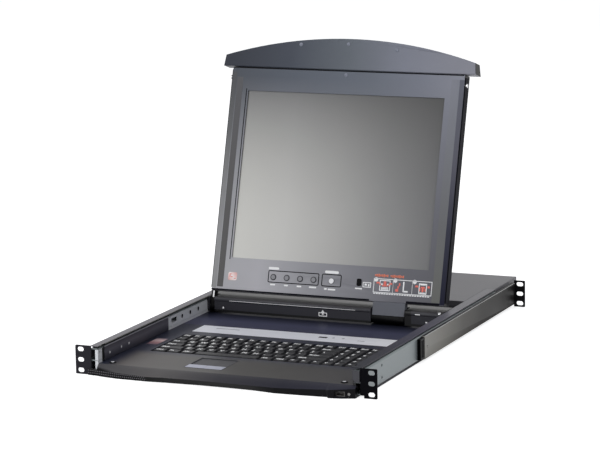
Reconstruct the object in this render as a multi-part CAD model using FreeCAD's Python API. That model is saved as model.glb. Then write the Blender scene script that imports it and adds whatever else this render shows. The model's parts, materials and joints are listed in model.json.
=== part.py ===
import FreeCAD, Part
import math
import os
from FreeCAD import Matrix, Placement, Rotation, Vector

# Rackmount LCD console drawer with two independent drawer levels on one pair of rails.
# Frame: +X to the right of someone facing the front, +Y to the back, +Z up.
# Origin: centre of the front rack-hole pattern, on the front face of the front ears.

# Rack interface
RACK_UNIT = 44.45
RACK_GAP = 0.65
HOLE_OFFSET = 14.55
HOLE_PITCH = 15.875
EAR_MARGIN = 8.75
EAR_THICK = 2.0
EAR_NOTCH = 5.7
EAR_CORNER = 1.5
EAR_LEG = 40.0
EAR_LEG_WIDTH = 10.0
FRONT_SLOT_LENGTH = 10.5
REAR_SLOT_LENGTH = 11.6
SLOT_HEIGHT = 7.0
MOUNT_DEPTH = 660.5

# Sheet metal and clearances
SHEET = 1.2
FLOOR_SHEET = 1.0
RUN = 0.3
AXLE_CLEAR = 0.08
FIT = 0.5
OVERCUT = 1.0
INLAY = 0.2

# Slides
SLIDE_SPAN = 436.0
SLIDE_HEIGHT = 36.0
SLIDE_DEPTH = 12.7
SLIDE_WALL = 1.4
SLIDE_LENGTH = 580.0
SLIDE_CORNER = 3.0
SLIDE_HOLE = 2.2
SLIDE_HOLES = (78.0, 440.0)
MEMBER_WALL = 1.5
PLATE = 1.3
MIDDLE_LENGTH = 500.0
MIDDLE_START = 60.0
INNER_START = 0.4
STOP_WIDTH = 4.8
STOP_DROP = 12.5
RUNNER_START = 30.0
WINDOW_Y = 249.0
WINDOW_LENGTH = 20.0
WINDOW_RIM = 2.2
PLATE_HOLE = 2.6
HOLE_START = 39.0
HOLE_STEP = 29.5
KEYHOLE = (4.5, 8.0)

# Telescopic rear brackets
BRACKET_OFFSET = 6.0
BRACKET_WALL = 1.5
BRACKET_FRONT = 239.0
BRACKET_CLEAR = 0.6
BRACKET_CORNER = 1.2
BRACKET_HOLE = 2.0
GUIDE_LENGTH = 17.0
GUIDE_TONGUE = 6.0
GUIDE_INSET = 0.4
GUIDE_GROOVE = 2.0
GUIDE_RIM = 3.0

# Fixed housing
FLANGE_LIP = 1.0
BOX_GAP = 6.0
BOX_LENGTH = 213.0
BOX_INSET = 1.5
CORNER_NOTCH = 16.0

# Keyboard drawer
DRAWER_LENGTH = 470.0
DECK_SHEET = 1.5
DECK_GAP = 1.9
LIP_INSET = 8.0
LIP_WING = 10.0
LIP_WALL = 3.0
LIP_CURL = (0.45, 0.28)
WING_TIP = -2.2
PORT_BLOCK = 0.8
# Lip stations from left to right: share of the half span, front edge y, its height, foot y
LIP_SECTIONS = [
    (-1.0, -3.5, -12.2, -2.5), (-0.905, -7.0, -12.5, -7.5), (-0.8, -11.5, -13.0, -10.8),
    (-0.548, -17.5, -13.5, -11.5), (-0.429, -17.5, -12.5, -9.0), (-0.167, -16.5, -12.3, -6.8),
    (0.043, -17.0, -12.5, -7.1), (0.243, -17.5, -12.7, -8.8), (0.419, -18.0, -13.0, -14.6),
    (0.605, -16.8, -11.8, -13.2), (0.8, -14.7, -9.9, -10.3), (0.819, -16.8, -9.6, -15.8),
    (0.905, -13.2, -8.4, -12.4), (1.0, -6.0, -7.6, -5.2),
]
KEY_FIELD_LEFT = -167.0
KEY_FIELD_RIGHT = 165.0
KEY_FIELD_FRONT = 102.0
KEY_FIELD_DEPTH = 120.0
KEY_GAP = 2.4
KEY_MARGIN = 1.0
KEY_HEIGHT = 5.3
KEY_TAPER = 1.6
KEY_PROUD = 0.8
KEY_TRAVEL = 1.7
KEY_STEM = 3.0
KEY_STEM_LENGTH = 4.5
KEY_BASE_WALL = 2.0
STRIP_FRONT = 244.0
STRIP_DEPTH = 45.0
STRIP_SPAN = 332.0
STRIP_SINK = 0.4
STRIP_WINDOW = (38.0, 52.0, 22.0, 30.0)
PAD_LEFT = -74.0
PAD_WIDTH = 62.0
PAD_FRONT = 22.0
PAD_DEPTH = 64.0
PAD_BUTTON_DEPTH = 19.0
PAD_RIM = 1.6
PAD_SINK = 0.9
PAD_EDGE = 0.6
PAD_POCKET = 3.5
PAD_TRAVEL = 0.5
BUMPER_INSET = 17.7
BUMPER_Y = 13.0
BUMPER_RADIUS = 4.0
BUMPER_HEIGHT = 1.3

# Display
LCD_SIDE_GAP = 2.0
LCD_HEIGHT = 364.3
LCD_THICK = 24.0
LCD_FRONT = 7.5
HINGE_DROP = 25.2
HINGE_PROUD = 0.9
HINGE_PIN_RADIUS = 3.0
PIN_CLEAR = 0.1
HINGE_BARREL_RADIUS = 8.0
LCD_TILT = 16.5
SCREEN_WIDTH = 337.7
SCREEN_BOTTOM = 54.2
SCREEN_TOP = 38.1
BEZEL_WALL = 2.0
BEZEL_DEPTH = 13.0
BEZEL_ROUND = 1.0
BACK_MARGIN = 30.0
GLASS = 1.5
GLASS_MARGIN = 3.0
CELL_DEPTH = 9.0
CAP_INSET = 1.0
CAP_END_HEIGHT = 19.5
CAP_MID_HEIGHT = 51.5
CAP_SHADOW_GAP = 1.2
CAP_TAPER = 8.0
CAP_LEAN = 2.5
CAP_ROUND = 1.2
NECK_LEFT = 81.0
NECK_WIDTH = 54.0
NECK_THICK = 12.0
SMALL_LEAF_INSET = 1.0
SMALL_LEAF_WIDTH = 6.0
NECK_GAP = 1.5
BASE_DEPTH = 45.0
BASE_FRONT_GAP = 8.6
BASE_ROLL = 5.0
POCKET_DEPTH = 26.0
BASE_NOTCH = 3.0
BASE_STEP = 1.2
BASE_STEP_Z = 16.0
LATCH_PIN_DROP = 16.7
LATCH_PIN_RADIUS = 2.5
PIN_HEAD = 1.5
LATCH_NOTCH = 5.0
COVER_START = 19.0
COVER_LENGTH = 217.0
COVER_SCREWS = (35.0, 73.0, 98.0)
COVER_DROP = 2.0
SCREW_HEAD = 2.4
SCREW_PROUD = 0.8
SCREW_Z = 6.0
TAB_CHAMFER = (4.0, 6.0)
BUTTON_HEIGHT = 27.0
BUTTON_RADIUS = 4.8
BUTTON_PROUD = 0.8
BUTTON_SHOULDER = 1.5
MENU_BUTTON_LEFT = -93.1
MENU_BUTTON_PITCH = 23.2
POWER_BUTTON_X = 7.3
# Service slot beside the buttons: left, right, and its foot and head from their axis
SERVICE_SLOT = (53.6, 59.6, -4.5, 6.0)

# Front ports
USB_INSET = 21.5
USB_Z = -15.6
USB_SHELL = (14.6, 7.6)
USB_MOUTH = (12.4, 5.2)
USB_REACH = 9.0
RESET_RADIUS = 2.1
RESET_REACH = 8.8
RESET_INSET = 8.7

# Rear panel equipment, placed along X as shares of the box's half width
PORT_Z = 0.0
VGA_AT = -0.693
VGA_WIDTH = 31.0
VGA_HEIGHT = 12.5
VGA_DEPTH = 14.0
VGA_PROUD = 5.0
VGA_SHELL_TOP = 16.6
VGA_SHELL_FOOT = 14.2
VGA_SHELL_HEIGHT = 8.2
VGA_STUD = 2.4
VGA_STUD_PITCH = 25.0
CONSOLE_USB_AT = -0.859
CONSOLE_USB_WIDTH = 14.0
CONSOLE_USB_HEIGHT = 15.5
CONSOLE_USB_DEPTH = 17.0
CONSOLE_MOUTH_HEIGHT = 5.0
CONSOLE_MOUTH_DEPTH = 11.0
USB_STACK = 7.8
JACK_COUNT = 8
JACK_PITCH = 16.0
JACKS_AT = -0.517
JACK_OPENING_WIDTH = 11.8
JACK_OPENING_HEIGHT = 8.4
JACK_DEPTH = 21.0
JACK_SHELL = 15.4
JACK_PROUD = 0.6
JACK_BACK = 4.0
BOARD_THICK = 1.6
BOARD_RIGHT = 42.0
BOARD_LAP = 12.0
INNER_GAP = 24.0
SUPPLY_WIDTH = 97.0
SUPPLY_HEIGHT = 36.0
FAN_SIZE = 40.0
FAN_DEPTH = 15.0
FAN_HUB = 9.5
FAN_SHAFT = 1.5
FAN_BLADES = 7
GRILLE_RADII = (7.0, 11.5, 16.0)
GRILLE_RING = 2.8
FAN_AT = 0.333
INLET_AT = 0.647
INLET_WIDTH = 28.0
INLET_HEIGHT = 21.0
INLET_DEPTH = 20.0
INLET_FLANGE = 2.0
INLET_MOUTH = (24.0, 16.0)
SWITCH_AT = 0.841
SWITCH_WIDTH = 20.0
SWITCH_HEIGHT = 13.6
SWITCH_DEPTH = 14.0
SWITCH_FLANGE = 1.6
ROCKER_AXIS = 4.0
ROCKER_AXLE = 1.2

# Derived planes, right side
TOP = (RACK_UNIT - RACK_GAP) / 2
SLIDE_TOP = SLIDE_HEIGHT / 2
SLIDE_OUT = SLIDE_SPAN / 2
SLIDE_IN = SLIDE_OUT - SLIDE_DEPTH
SLIDE_FRONT = EAR_THICK
SLIDE_REAR = SLIDE_FRONT + SLIDE_LENGTH
SLIDE_WEB = SLIDE_OUT - SLIDE_WALL
PLATE_OUT = SLIDE_IN - RUN
PLATE_IN = PLATE_OUT - PLATE
WALL_IN = PLATE_IN - SHEET
FLANGE_IN = WALL_IN - FLANGE_LIP
FLANGE_OUT = SLIDE_OUT - FLANGE_LIP
INNER_END = DRAWER_LENGTH
PLATE_TOP = SLIDE_TOP - SLIDE_WALL - RUN
BRACKET_OUT = SLIDE_OUT + BRACKET_OFFSET
HOLE_X = SLIDE_OUT + HOLE_OFFSET
EAR_OUT = HOLE_X + EAR_MARGIN
EAR_IN = SLIDE_WEB - SHEET
LIP_HALF = SLIDE_OUT - LIP_INSET
USB_X = LIP_HALF - USB_INSET
RESET_X = LIP_HALF - RESET_INSET
BUMPER_X = PLATE_IN - BUMPER_INSET
CAP_HALF = SLIDE_OUT - CAP_INSET
LCD_HALF = FLANGE_IN - LCD_SIDE_GAP
SCREEN_HEIGHT = LCD_HEIGHT - SCREEN_BOTTOM - SCREEN_TOP
LATCH_PIN_HEIGHT = LCD_HEIGHT - LATCH_PIN_DROP
PIN_TIP = PLATE_IN - RUN
SMALL_LEAF_LEFT = SMALL_LEAF_INSET - LCD_HALF
HINGE_Z = TOP - (LCD_THICK - LCD_FRONT)
HINGE_Y = HINGE_DROP + LCD_HEIGHT - HINGE_PROUD
PIN_Y = HINGE_Y - HINGE_DROP - LATCH_PIN_HEIGHT
DECK_TOP = HINGE_Z - LCD_FRONT - DECK_GAP
DECK_BOTTOM = DECK_TOP - DECK_SHEET
DECK_SPLIT = STRIP_FRONT + STRIP_DEPTH + OVERCUT
FLOOR_TOP = -TOP + FLOOR_SHEET
TRAY_BOTTOM = FLOOR_TOP + FIT
TRAY_FLOOR = TRAY_BOTTOM + SHEET
LIP_REAR = EAR_THICK - RUN
BASE_FRONT = HINGE_Y - BASE_FRONT_GAP
BASE_BOTTOM = DECK_TOP + BUMPER_HEIGHT + FIT
COVER_FRONT = DRAWER_LENGTH + BOX_GAP
BOX_REAR = COVER_FRONT + BOX_LENGTH
BOX_HALF = SLIDE_OUT - BOX_INSET
REAR_WALL_IN = BOX_REAR - SHEET
BOX_INNER = FLANGE_IN - SHEET - RUN
CONSOLE_USB_X = CONSOLE_USB_AT * BOX_HALF
VGA_X = VGA_AT * BOX_HALF
JACK_LEFT = JACKS_AT * BOX_HALF
FAN_X = FAN_AT * BOX_HALF
INLET_X = INLET_AT * BOX_HALF
SWITCH_X = SWITCH_AT * BOX_HALF
SHELL_HALF = JACK_SHELL / 2
BOARD_TOP = PORT_Z - SHELL_HALF


def block(x0, x1, y0, y1, z0, z1):
    """Axis-aligned box between the given planes."""
    return Part.makeBox(x1 - x0, y1 - y0, z1 - z0, Vector(x0, y0, z0))


def rod(radius, start, direction, length):
    """Round rod from a start point along a direction."""
    return Part.makeCylinder(radius, length, Vector(*start), Vector(*direction))


def prism(points, direction):
    """Straight prism on a closed polygon of 3-D points."""
    corners = [Vector(*p) for p in points]
    face = Part.Face(Part.makePolygon(corners + corners[:1]))
    return face.extrude(Vector(*direction))


def profile_xz(points, y0, y1):
    """Prism along Y on an x-z polygon."""
    return prism([(x, y0, z) for x, z in points], (0, y1 - y0, 0))


def profile_yz(points, x0, x1):
    """Prism along X on a y-z polygon."""
    return prism([(x0, y, z) for y, z in points], (x1 - x0, 0, 0))


def join(shapes):
    """One solid from shapes that touch or overlap."""
    shapes = list(shapes)
    return shapes[0].fuse(shapes[1:]).removeSplitter()


def mirror(shape):
    """The same piece for the left side."""
    return shape.mirror(Vector(0, 0, 0), Vector(1, 0, 0))


def round_edges(shape, radius, chosen):
    """Fillet the edges for which the test is true."""
    edges = [edge for edge in shape.Edges if chosen(edge)]
    return shape.makeFillet(radius, edges)


def runs_along(edge, axis):
    """True for a straight edge parallel to the unit axis."""
    if edge.Curve.TypeId != "Part::GeomLine":
        return False
    return abs(abs(edge.tangentAt(edge.FirstParameter).dot(Vector(*axis))) - 1) < 1e-6


def slot_cutter(x, z, length, height, y0, y1):
    """Level round-ended slot through a plate that faces Y."""
    reach = (length - height) / 2
    body = block(x - reach, x + reach, y0, y1, z - height / 2, z + height / 2)
    ends = [rod(height / 2, (x + s * reach, y0, z), (0, 1, 0), y1 - y0) for s in (-1, 1)]
    return join([body] + ends)


def save(name, shape):
    """Write one node."""
    shape.exportStep("parts/%s.step" % name)


def save_pair(name, shape):
    """Write the right-hand piece and its mirror image."""
    save(name + "_right", shape)
    save(name + "_left", mirror(shape))


def both(shape):
    """Right and left piece as two solids of one node."""
    return Part.makeCompound([shape, mirror(shape)])


# ---------------------------------------------------------------- fixed housing

def rack_slots(length, y0, y1):
    """Three slots of one ear, as cutters."""
    return [slot_cutter(HOLE_X, i * HOLE_PITCH, length, SLOT_HEIGHT, y0, y1) for i in (-1, 0, 1)]


def round_outer_corners(shape, radius, x):
    """Fillet the edges along Y that lie in the outer plane x."""
    return round_edges(shape, radius, lambda e: runs_along(e, (0, 1, 0)) and e.CenterOfMass.x > x - 0.1)


def front_ear():
    """Front ear with its two legs along the inside of the slide web."""
    notch = EAR_IN + EAR_NOTCH
    outline = [(notch, -TOP), (EAR_OUT, -TOP), (EAR_OUT, TOP), (EAR_IN, TOP), (EAR_IN, -SLIDE_TOP),
               (notch, -SLIDE_TOP)]
    plate = round_outer_corners(profile_xz(outline, 0, EAR_THICK), EAR_CORNER, EAR_OUT)
    plate = plate.cut(rack_slots(FRONT_SLOT_LENGTH, -OVERCUT, EAR_THICK + OVERCUT))
    middle, half, rear = SLIDE_TOP / 2, EAR_LEG_WIDTH / 2, EAR_THICK + EAR_LEG
    legs = [block(EAR_IN, SLIDE_WEB, 0, rear, s * middle - half, s * middle + half) for s in (-1, 1)]
    return join([plate] + legs)


def slide_outer():
    """Rolled double-track outer member: web, top and bottom lips and a middle rib."""
    body = block(SLIDE_IN, SLIDE_OUT, SLIDE_FRONT, SLIDE_REAR, -SLIDE_TOP, SLIDE_TOP)
    body = round_outer_corners(body, SLIDE_CORNER, SLIDE_OUT)
    rib = MEMBER_WALL / 2
    for s in (-1, 1):
        z0, z1 = sorted((s * rib, s * (SLIDE_TOP - SLIDE_WALL)))
        body = body.cut(block(SLIDE_IN - OVERCUT, SLIDE_WEB, SLIDE_FRONT - OVERCUT, SLIDE_REAR + OVERCUT,
                              z0, z1))
    holes = [rod(SLIDE_HOLE, (SLIDE_WEB - OVERCUT, y, s * SLIDE_TOP / 2), (1, 0, 0), SLIDE_WALL + 2 * OVERCUT)
             for y in SLIDE_HOLES for s in (-1, 1)]
    return body.cut(holes)


def top_flange():
    """Folded strip on top of the slide that covers the gap beside the display."""
    leg = SLIDE_OUT - SLIDE_CORNER - SHEET
    start = SLIDE_FRONT + FIT
    top = block(FLANGE_IN, FLANGE_OUT, start, SLIDE_REAR, TOP - SHEET, TOP)
    side = block(leg - SHEET, leg, start, SLIDE_REAR, SLIDE_TOP, TOP - SHEET)
    notch = block(FLANGE_IN - OVERCUT, PIN_TIP + FIT, PIN_Y - LATCH_NOTCH, PIN_Y + LATCH_NOTCH,
                  TOP - SHEET - OVERCUT, TOP + OVERCUT)
    return join([top, side]).cut(notch)


def bracket_guides():
    """Guide blocks between slide and bracket: a grooved front cap that shows and one at the rear."""
    wall = BRACKET_OUT - BRACKET_WALL - RUN
    half = SLIDE_TOP - BRACKET_WALL - RUN
    y0, face = BRACKET_FRONT - GUIDE_LENGTH, BRACKET_OUT - GUIDE_INSET
    front = block(SLIDE_OUT, wall, y0, BRACKET_FRONT + GUIDE_TONGUE, -half, half)
    front = join([front, block(wall, face, y0, BRACKET_FRONT - RUN, -half, half)])
    grooves = [block(face - GUIDE_GROOVE / 2, face + OVERCUT, y0 + (2 * i + 2) * GUIDE_GROOVE,
                     y0 + (2 * i + 3) * GUIDE_GROOVE, -half + GUIDE_RIM, half - GUIDE_RIM) for i in range(3)]
    rear = block(SLIDE_OUT, wall, SLIDE_REAR - 7 * GUIDE_TONGUE, SLIDE_REAR - GUIDE_TONGUE, -half, half)
    return [front.cut(grooves), rear]


def rear_bracket():
    """Channel that telescopes back along the slide, with the rear rack ear."""
    inner = SLIDE_OUT + BRACKET_CLEAR
    web = BRACKET_OUT - BRACKET_WALL
    ear_front = MOUNT_DEPTH - EAR_THICK
    channel = block(inner, BRACKET_OUT, BRACKET_FRONT, ear_front, -SLIDE_TOP, SLIDE_TOP)
    channel = channel.cut(block(inner - OVERCUT, web, BRACKET_FRONT - OVERCUT, ear_front + OVERCUT,
                                -SLIDE_TOP + BRACKET_WALL, SLIDE_TOP - BRACKET_WALL))
    channel = round_outer_corners(channel, BRACKET_CORNER, BRACKET_OUT)
    channel = channel.cut(rod(BRACKET_HOLE, (web - OVERCUT, BRACKET_FRONT + 6 * BRACKET_HOLE, 0), (1, 0, 0),
                              BRACKET_WALL + 2 * OVERCUT))
    ear = round_outer_corners(block(web, EAR_OUT, ear_front, MOUNT_DEPTH, -TOP, TOP), EAR_CORNER, EAR_OUT)
    ear = ear.cut(rack_slots(REAR_SLOT_LENGTH, ear_front - OVERCUT, MOUNT_DEPTH + OVERCUT))
    return join([channel, ear])


def bottom_pan():
    """Floor, side legs that hold the slides, and the walls of the rear box."""
    leg = SLIDE_OUT - SLIDE_CORNER - SHEET
    start = SLIDE_FRONT + FIT
    half = BOX_HALF
    lid = TOP - SHEET
    notched = start + CORNER_NOTCH
    parts = [block(-LIP_HALF, LIP_HALF, start, notched + OVERCUT, -TOP, FLOOR_TOP),
             block(-half, half, notched, BOX_REAR, -TOP, FLOOR_TOP)]
    right = [block(leg - SHEET, leg, notched, SLIDE_REAR, FLOOR_TOP, -SLIDE_TOP),
             block(BOX_INNER, FLANGE_IN - RUN, COVER_FRONT, SLIDE_REAR, FLOOR_TOP, lid),
             block(BOX_INNER, half, SLIDE_REAR, SLIDE_REAR + SHEET, FLOOR_TOP, lid),
             block(half - SHEET, half, SLIDE_REAR, BOX_REAR, FLOOR_TOP, lid)]
    parts += right + [mirror(shape) for shape in right]
    parts.append(block(-FLANGE_IN + RUN, FLANGE_IN - RUN, COVER_FRONT, COVER_FRONT + SHEET, FLOOR_TOP, lid))
    return join(parts)


def rear_cover():
    """Lid of the rear box, narrow between the flanges and wide behind the slides."""
    half, narrow = BOX_HALF, FLANGE_IN - RUN
    side = [(narrow, COVER_FRONT), (narrow, SLIDE_REAR + RUN), (half, SLIDE_REAR + RUN), (half, BOX_REAR)]
    outline = side + [(-x, y) for x, y in reversed(side)]
    return prism([(x, y, TOP - SHEET) for x, y in outline], (0, 0, SHEET))


def centred(x, z, width, height, y0, y1):
    """Box between two planes along Y about a centre in x and z."""
    return block(x - width / 2, x + width / 2, y0, y1, z - height / 2, z + height / 2)


def turned(shape, angle, x, z):
    """Shape drawn about the Y axis, turned and moved to a centre in x and z."""
    shape.rotate(Vector(0, 0, 0), Vector(0, 1, 0), angle)
    shape.translate(Vector(x, 0, z))
    return shape


def jack_centres():
    """Middle of each network jack along X."""
    return [JACK_LEFT + (i + 0.5) * JACK_PITCH for i in range(JACK_COUNT)]


def fan_z():
    """Height of the fan axis: its frame stands on the floor."""
    return FLOOR_TOP + FAN_SIZE / 2


def rear_panel():
    """Rear wall with the cut-outs of its equipment and a ringed fan grille."""
    half = BOX_HALF - SHEET
    panel = block(-half, half, REAR_WALL_IN, BOX_REAR, FLOOR_TOP, TOP - SHEET)
    y0, y1 = REAR_WALL_IN - OVERCUT, BOX_REAR + OVERCUT
    jacks = block(JACK_LEFT, JACK_LEFT + JACK_COUNT * JACK_PITCH, y0, y1, PORT_Z - SHELL_HALF - RUN,
                  PORT_Z + SHELL_HALF + RUN)
    others = [(INLET_X, INLET_WIDTH, INLET_HEIGHT), (SWITCH_X, SWITCH_WIDTH, SWITCH_HEIGHT),
              (VGA_X, VGA_WIDTH, VGA_HEIGHT), (CONSOLE_USB_X, CONSOLE_USB_WIDTH, CONSOLE_USB_HEIGHT)]
    panel = panel.cut([jacks] + [centred(x, PORT_Z, w, h, y0, y1) for x, w, h in others])
    z, half_ring = fan_z(), GRILLE_RING / 2
    bars = [turned(block(-1, 1, y0 - OVERCUT, y1 + OVERCUT, -FAN_SIZE / 2, FAN_SIZE / 2), a, FAN_X, z)
            for a in (45, 135)]
    for radius in GRILLE_RADII:
        ring = rod(radius + half_ring, (FAN_X, y0, z), (0, 1, 0), y1 - y0)
        ring = ring.cut(rod(radius - half_ring, (FAN_X, y0 - OVERCUT, z), (0, 1, 0), y1 - y0 + 2 * OVERCUT))
        panel = panel.cut(ring.cut(bars))
    return panel


def jack_block():
    """Row of network jacks in one moulded shell, on the main board."""
    y1 = BOX_REAR + JACK_PROUD
    y0 = y1 - JACK_DEPTH
    x1 = JACK_LEFT + JACK_COUNT * JACK_PITCH
    shell = block(JACK_LEFT + RUN, x1 - RUN, y0, y1, PORT_Z - SHELL_HALF, PORT_Z + SHELL_HALF)
    mouths = [centred(x, PORT_Z, JACK_OPENING_WIDTH, JACK_OPENING_HEIGHT, y0 + JACK_BACK, y1 + OVERCUT)
              for x in jack_centres()]
    return shell.cut(mouths)


def console_ports():
    """VGA socket with its D-shaped shell and studs, and a stacked pair of USB sockets."""
    y1 = BOX_REAR + OVERCUT
    vga = centred(VGA_X, PORT_Z, VGA_WIDTH - 2 * RUN, VGA_HEIGHT - 2 * RUN, y1 - VGA_DEPTH, y1)
    top, foot, z = VGA_SHELL_TOP / 2, VGA_SHELL_FOOT / 2, VGA_SHELL_HEIGHT / 2
    shell = profile_xz([(VGA_X - top, PORT_Z + z), (VGA_X + top, PORT_Z + z), (VGA_X + foot, PORT_Z - z),
                        (VGA_X - foot, PORT_Z - z)], y1 - OVERCUT, y1 + VGA_PROUD)
    studs = [rod(VGA_STUD, (VGA_X + s * VGA_STUD_PITCH / 2, BOX_REAR, PORT_Z), (0, 1, 0), VGA_PROUD + OVERCUT)
             for s in (-1, 1)]
    usb = centred(CONSOLE_USB_X, PORT_Z, CONSOLE_USB_WIDTH - 2 * RUN, CONSOLE_USB_HEIGHT - 2 * RUN,
                  y1 - CONSOLE_USB_DEPTH, y1)
    mouths = [centred(CONSOLE_USB_X, PORT_Z + s * USB_STACK / 2, USB_MOUTH[0], CONSOLE_MOUTH_HEIGHT,
                      y1 - CONSOLE_MOUTH_DEPTH, y1 + OVERCUT) for s in (-1, 1)]
    return Part.makeCompound([join([vga, shell] + studs), usb.cut(mouths)])


def power_inlet():
    """Appliance inlet: moulded body, flange on the rear panel, three flat pins."""
    y1 = BOX_REAR + INLET_FLANGE
    body = centred(INLET_X, PORT_Z, INLET_WIDTH - 2 * RUN, INLET_HEIGHT - 2 * RUN, BOX_REAR - INLET_DEPTH, y1)
    flange = centred(INLET_X, PORT_Z, INLET_WIDTH + 8, INLET_HEIGHT + 4, BOX_REAR, y1)
    flange = round_edges(flange, 2.5, lambda e: runs_along(e, (0, 1, 0)))
    x, z, nick = INLET_MOUTH[0] / 2, INLET_MOUTH[1] / 2, INLET_MOUTH[1] / 4
    mouth = [(-x, -z), (x, -z), (x, z - nick), (x - nick, z), (nick - x, z), (-x, z - nick)]
    mouth = profile_xz([(INLET_X + a, PORT_Z + b) for a, b in mouth], y1 - INLET_DEPTH + 3, y1 + OVERCUT)
    pins = [centred(INLET_X + dx, PORT_Z + dz, 4, 2, y1 - INLET_DEPTH + 2, y1 - 4)
            for dx, dz in ((-7, -2), (0, 3), (7, -2))]
    return join([join([body, flange]).cut(mouth)] + pins)


def power_switch():
    """Frame of the power switch and its rocker, which tips about its middle."""
    w, h = SWITCH_WIDTH - 2 * RUN, SWITCH_HEIGHT - 2 * RUN
    y1 = BOX_REAR + SWITCH_FLANGE
    frame = join([centred(SWITCH_X, PORT_Z, w, h, BOX_REAR - SWITCH_DEPTH, y1),
                  centred(SWITCH_X, PORT_Z, w + 3.6, h + 3, BOX_REAR, y1)])
    hollow = centred(SWITCH_X, PORT_Z, w - 3, h - 2.6, BOX_REAR - SWITCH_DEPTH + 3, y1 + OVERCUT)
    axle_y = BOX_REAR - ROCKER_AXIS
    bore = rod(ROCKER_AXLE + AXLE_CLEAR, (SWITCH_X, axle_y, PORT_Z - h / 2 + FIT), (0, 0, 1), h - 2 * FIT)
    frame = frame.cut([hollow, bore])
    tip, dip, low = BOX_REAR + 2.8, BOX_REAR + 1.2, axle_y - 3
    right = [(2, low), (7.0, axle_y - 2), (7.4, tip)]
    outline = right + [(0, dip)] + [(-x, y) for x, y in reversed(right)]
    half = (h - 2.6) / 2 - RUN
    rocker = prism([(SWITCH_X + x, y, PORT_Z - half) for x, y in outline], (0, 0, 2 * half))
    axle = rod(ROCKER_AXLE, (SWITCH_X, axle_y, PORT_Z - half - 1), (0, 0, 1), 2 * half + 2)
    return frame, join([rocker, axle])


def fan():
    """Square fan frame with spokes, and its bladed rotor."""
    z, y1 = fan_z(), REAR_WALL_IN
    y0 = y1 - FAN_DEPTH
    bore, hub, spoke_depth = FAN_SIZE / 2 - 1.5, FAN_HUB, FAN_DEPTH / 6
    frame = centred(FAN_X, z, FAN_SIZE, FAN_SIZE, y0, y1)
    frame = frame.cut(rod(bore, (FAN_X, y0 - OVERCUT, z), (0, 1, 0), FAN_DEPTH + 2 * OVERCUT))
    spokes = [turned(block(0, bore + 0.8, y1 - spoke_depth, y1, -1, 1), 120 * i + 30, FAN_X, z)
              for i in range(3)]
    centre = rod(hub - 0.5, (FAN_X, y1 - spoke_depth, z), (0, 1, 0), spoke_depth)
    shaft = rod(FAN_SHAFT, (FAN_X, y0 + 3, z), (0, 1, 0), FAN_DEPTH - 4)
    frame = join([frame, centre, shaft] + spokes)
    rotor = rod(hub, (FAN_X, y0 + 1, z), (0, 1, 0), FAN_DEPTH - 4)
    blades = []
    for i in range(FAN_BLADES):
        blade = block(hub - 1.5, bore - 0.8, -4.5, 4.5, -0.6, 0.6)
        blade.rotate(Vector(0, 0, 0), Vector(1, 0, 0), 38)
        blade.translate(Vector(0, y0 + 6.5, 0))
        blades.append(turned(blade, 360 / FAN_BLADES * i, FAN_X, z))
    rotor = join([rotor] + blades).cut(rod(FAN_SHAFT + AXLE_CLEAR, (FAN_X, y0, z), (0, 1, 0), FAN_DEPTH + 1))
    return frame, rotor


def power_supply():
    """Enclosed switch-mode supply with vent slots in its front wall."""
    x1 = BOX_INNER - FIT
    x0, y0 = x1 - SUPPLY_WIDTH, COVER_FRONT + INNER_GAP
    box = block(x0, x1, y0, BOX_REAR - INNER_GAP - 5, FLOOR_TOP, FLOOR_TOP + SUPPLY_HEIGHT)
    pitch = SUPPLY_WIDTH / 7
    slots = [block(x0 + (i + 0.6) * pitch, x0 + (i + 1) * pitch, y0 - OVERCUT, y0 + 2.5, FLOOR_TOP + 6,
                   FLOOR_TOP + SUPPLY_HEIGHT - 6) for i in range(6)]
    return box.cut(slots)


def main_board():
    """Main board on standoffs, with its processor, capacitors and headers."""
    x0, x1 = -BOX_INNER + FIT, BOARD_RIGHT
    y0, y1 = COVER_FRONT + INNER_GAP, BOX_REAR - JACK_DEPTH + BOARD_LAP
    w, d, z = x1 - x0, y1 - y0, BOARD_TOP
    under = z - BOARD_THICK
    feet = [rod(3, (x, y, FLOOR_TOP), (0, 0, 1), under - FLOOR_TOP) for x in (x0 + 8, x1 - 8)
            for y in (y0 + 8, y1 - 20)]
    # Corner as shares of the board's width and depth, then width, depth and height
    parts = [(0.21, 0.33, 32, 32, 3.0), (0.74, 0.56, 20, 26, 2.4), (0.08, 0.03, 34, 6, 9.0),
             (0.33, 0.03, 34, 6, 9.0)]
    chips = [Part.makeBox(*size, Vector(x0 + a * w, y0 + b * d, z)) for a, b, *size in parts]
    cans = [rod(4, (x0 + a * w, y0 + 0.78 * d, z), (0, 0, 1), 12) for a in (0.12, 0.18)]
    return join([block(x0, x1, y0, y1, under, z)] + feet + chips + cans)


# ---------------------------------------------------------------- slides

def middle_member(sign):
    """Ball-retainer member of one track; sign +1 is the upper track."""
    lo = MEMBER_WALL / 2 + RUN
    hi = SLIDE_TOP - SLIDE_WALL - RUN
    web, y1 = SLIDE_WEB - SHEET - RUN, MIDDLE_START + MIDDLE_LENGTH
    body = block(SLIDE_IN + 2 * RUN, web, MIDDLE_START, y1, lo, hi)
    hollow = block(SLIDE_IN - OVERCUT, web - SHEET, MIDDLE_START - OVERCUT, y1 + OVERCUT, lo + MEMBER_WALL,
                   hi - MEMBER_WALL)
    pitch = 0.32 * MIDDLE_LENGTH
    starts = [MIDDLE_START + 0.1 * MIDDLE_LENGTH + pitch * i for i in range(3)]
    windows = [block(web - SHEET - OVERCUT, web + OVERCUT, y, y + pitch / 2, lo + 3 * MEMBER_WALL,
                     hi - 3 * MEMBER_WALL) for y in starts]
    return in_track(body.cut([hollow] + windows), sign)


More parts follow.
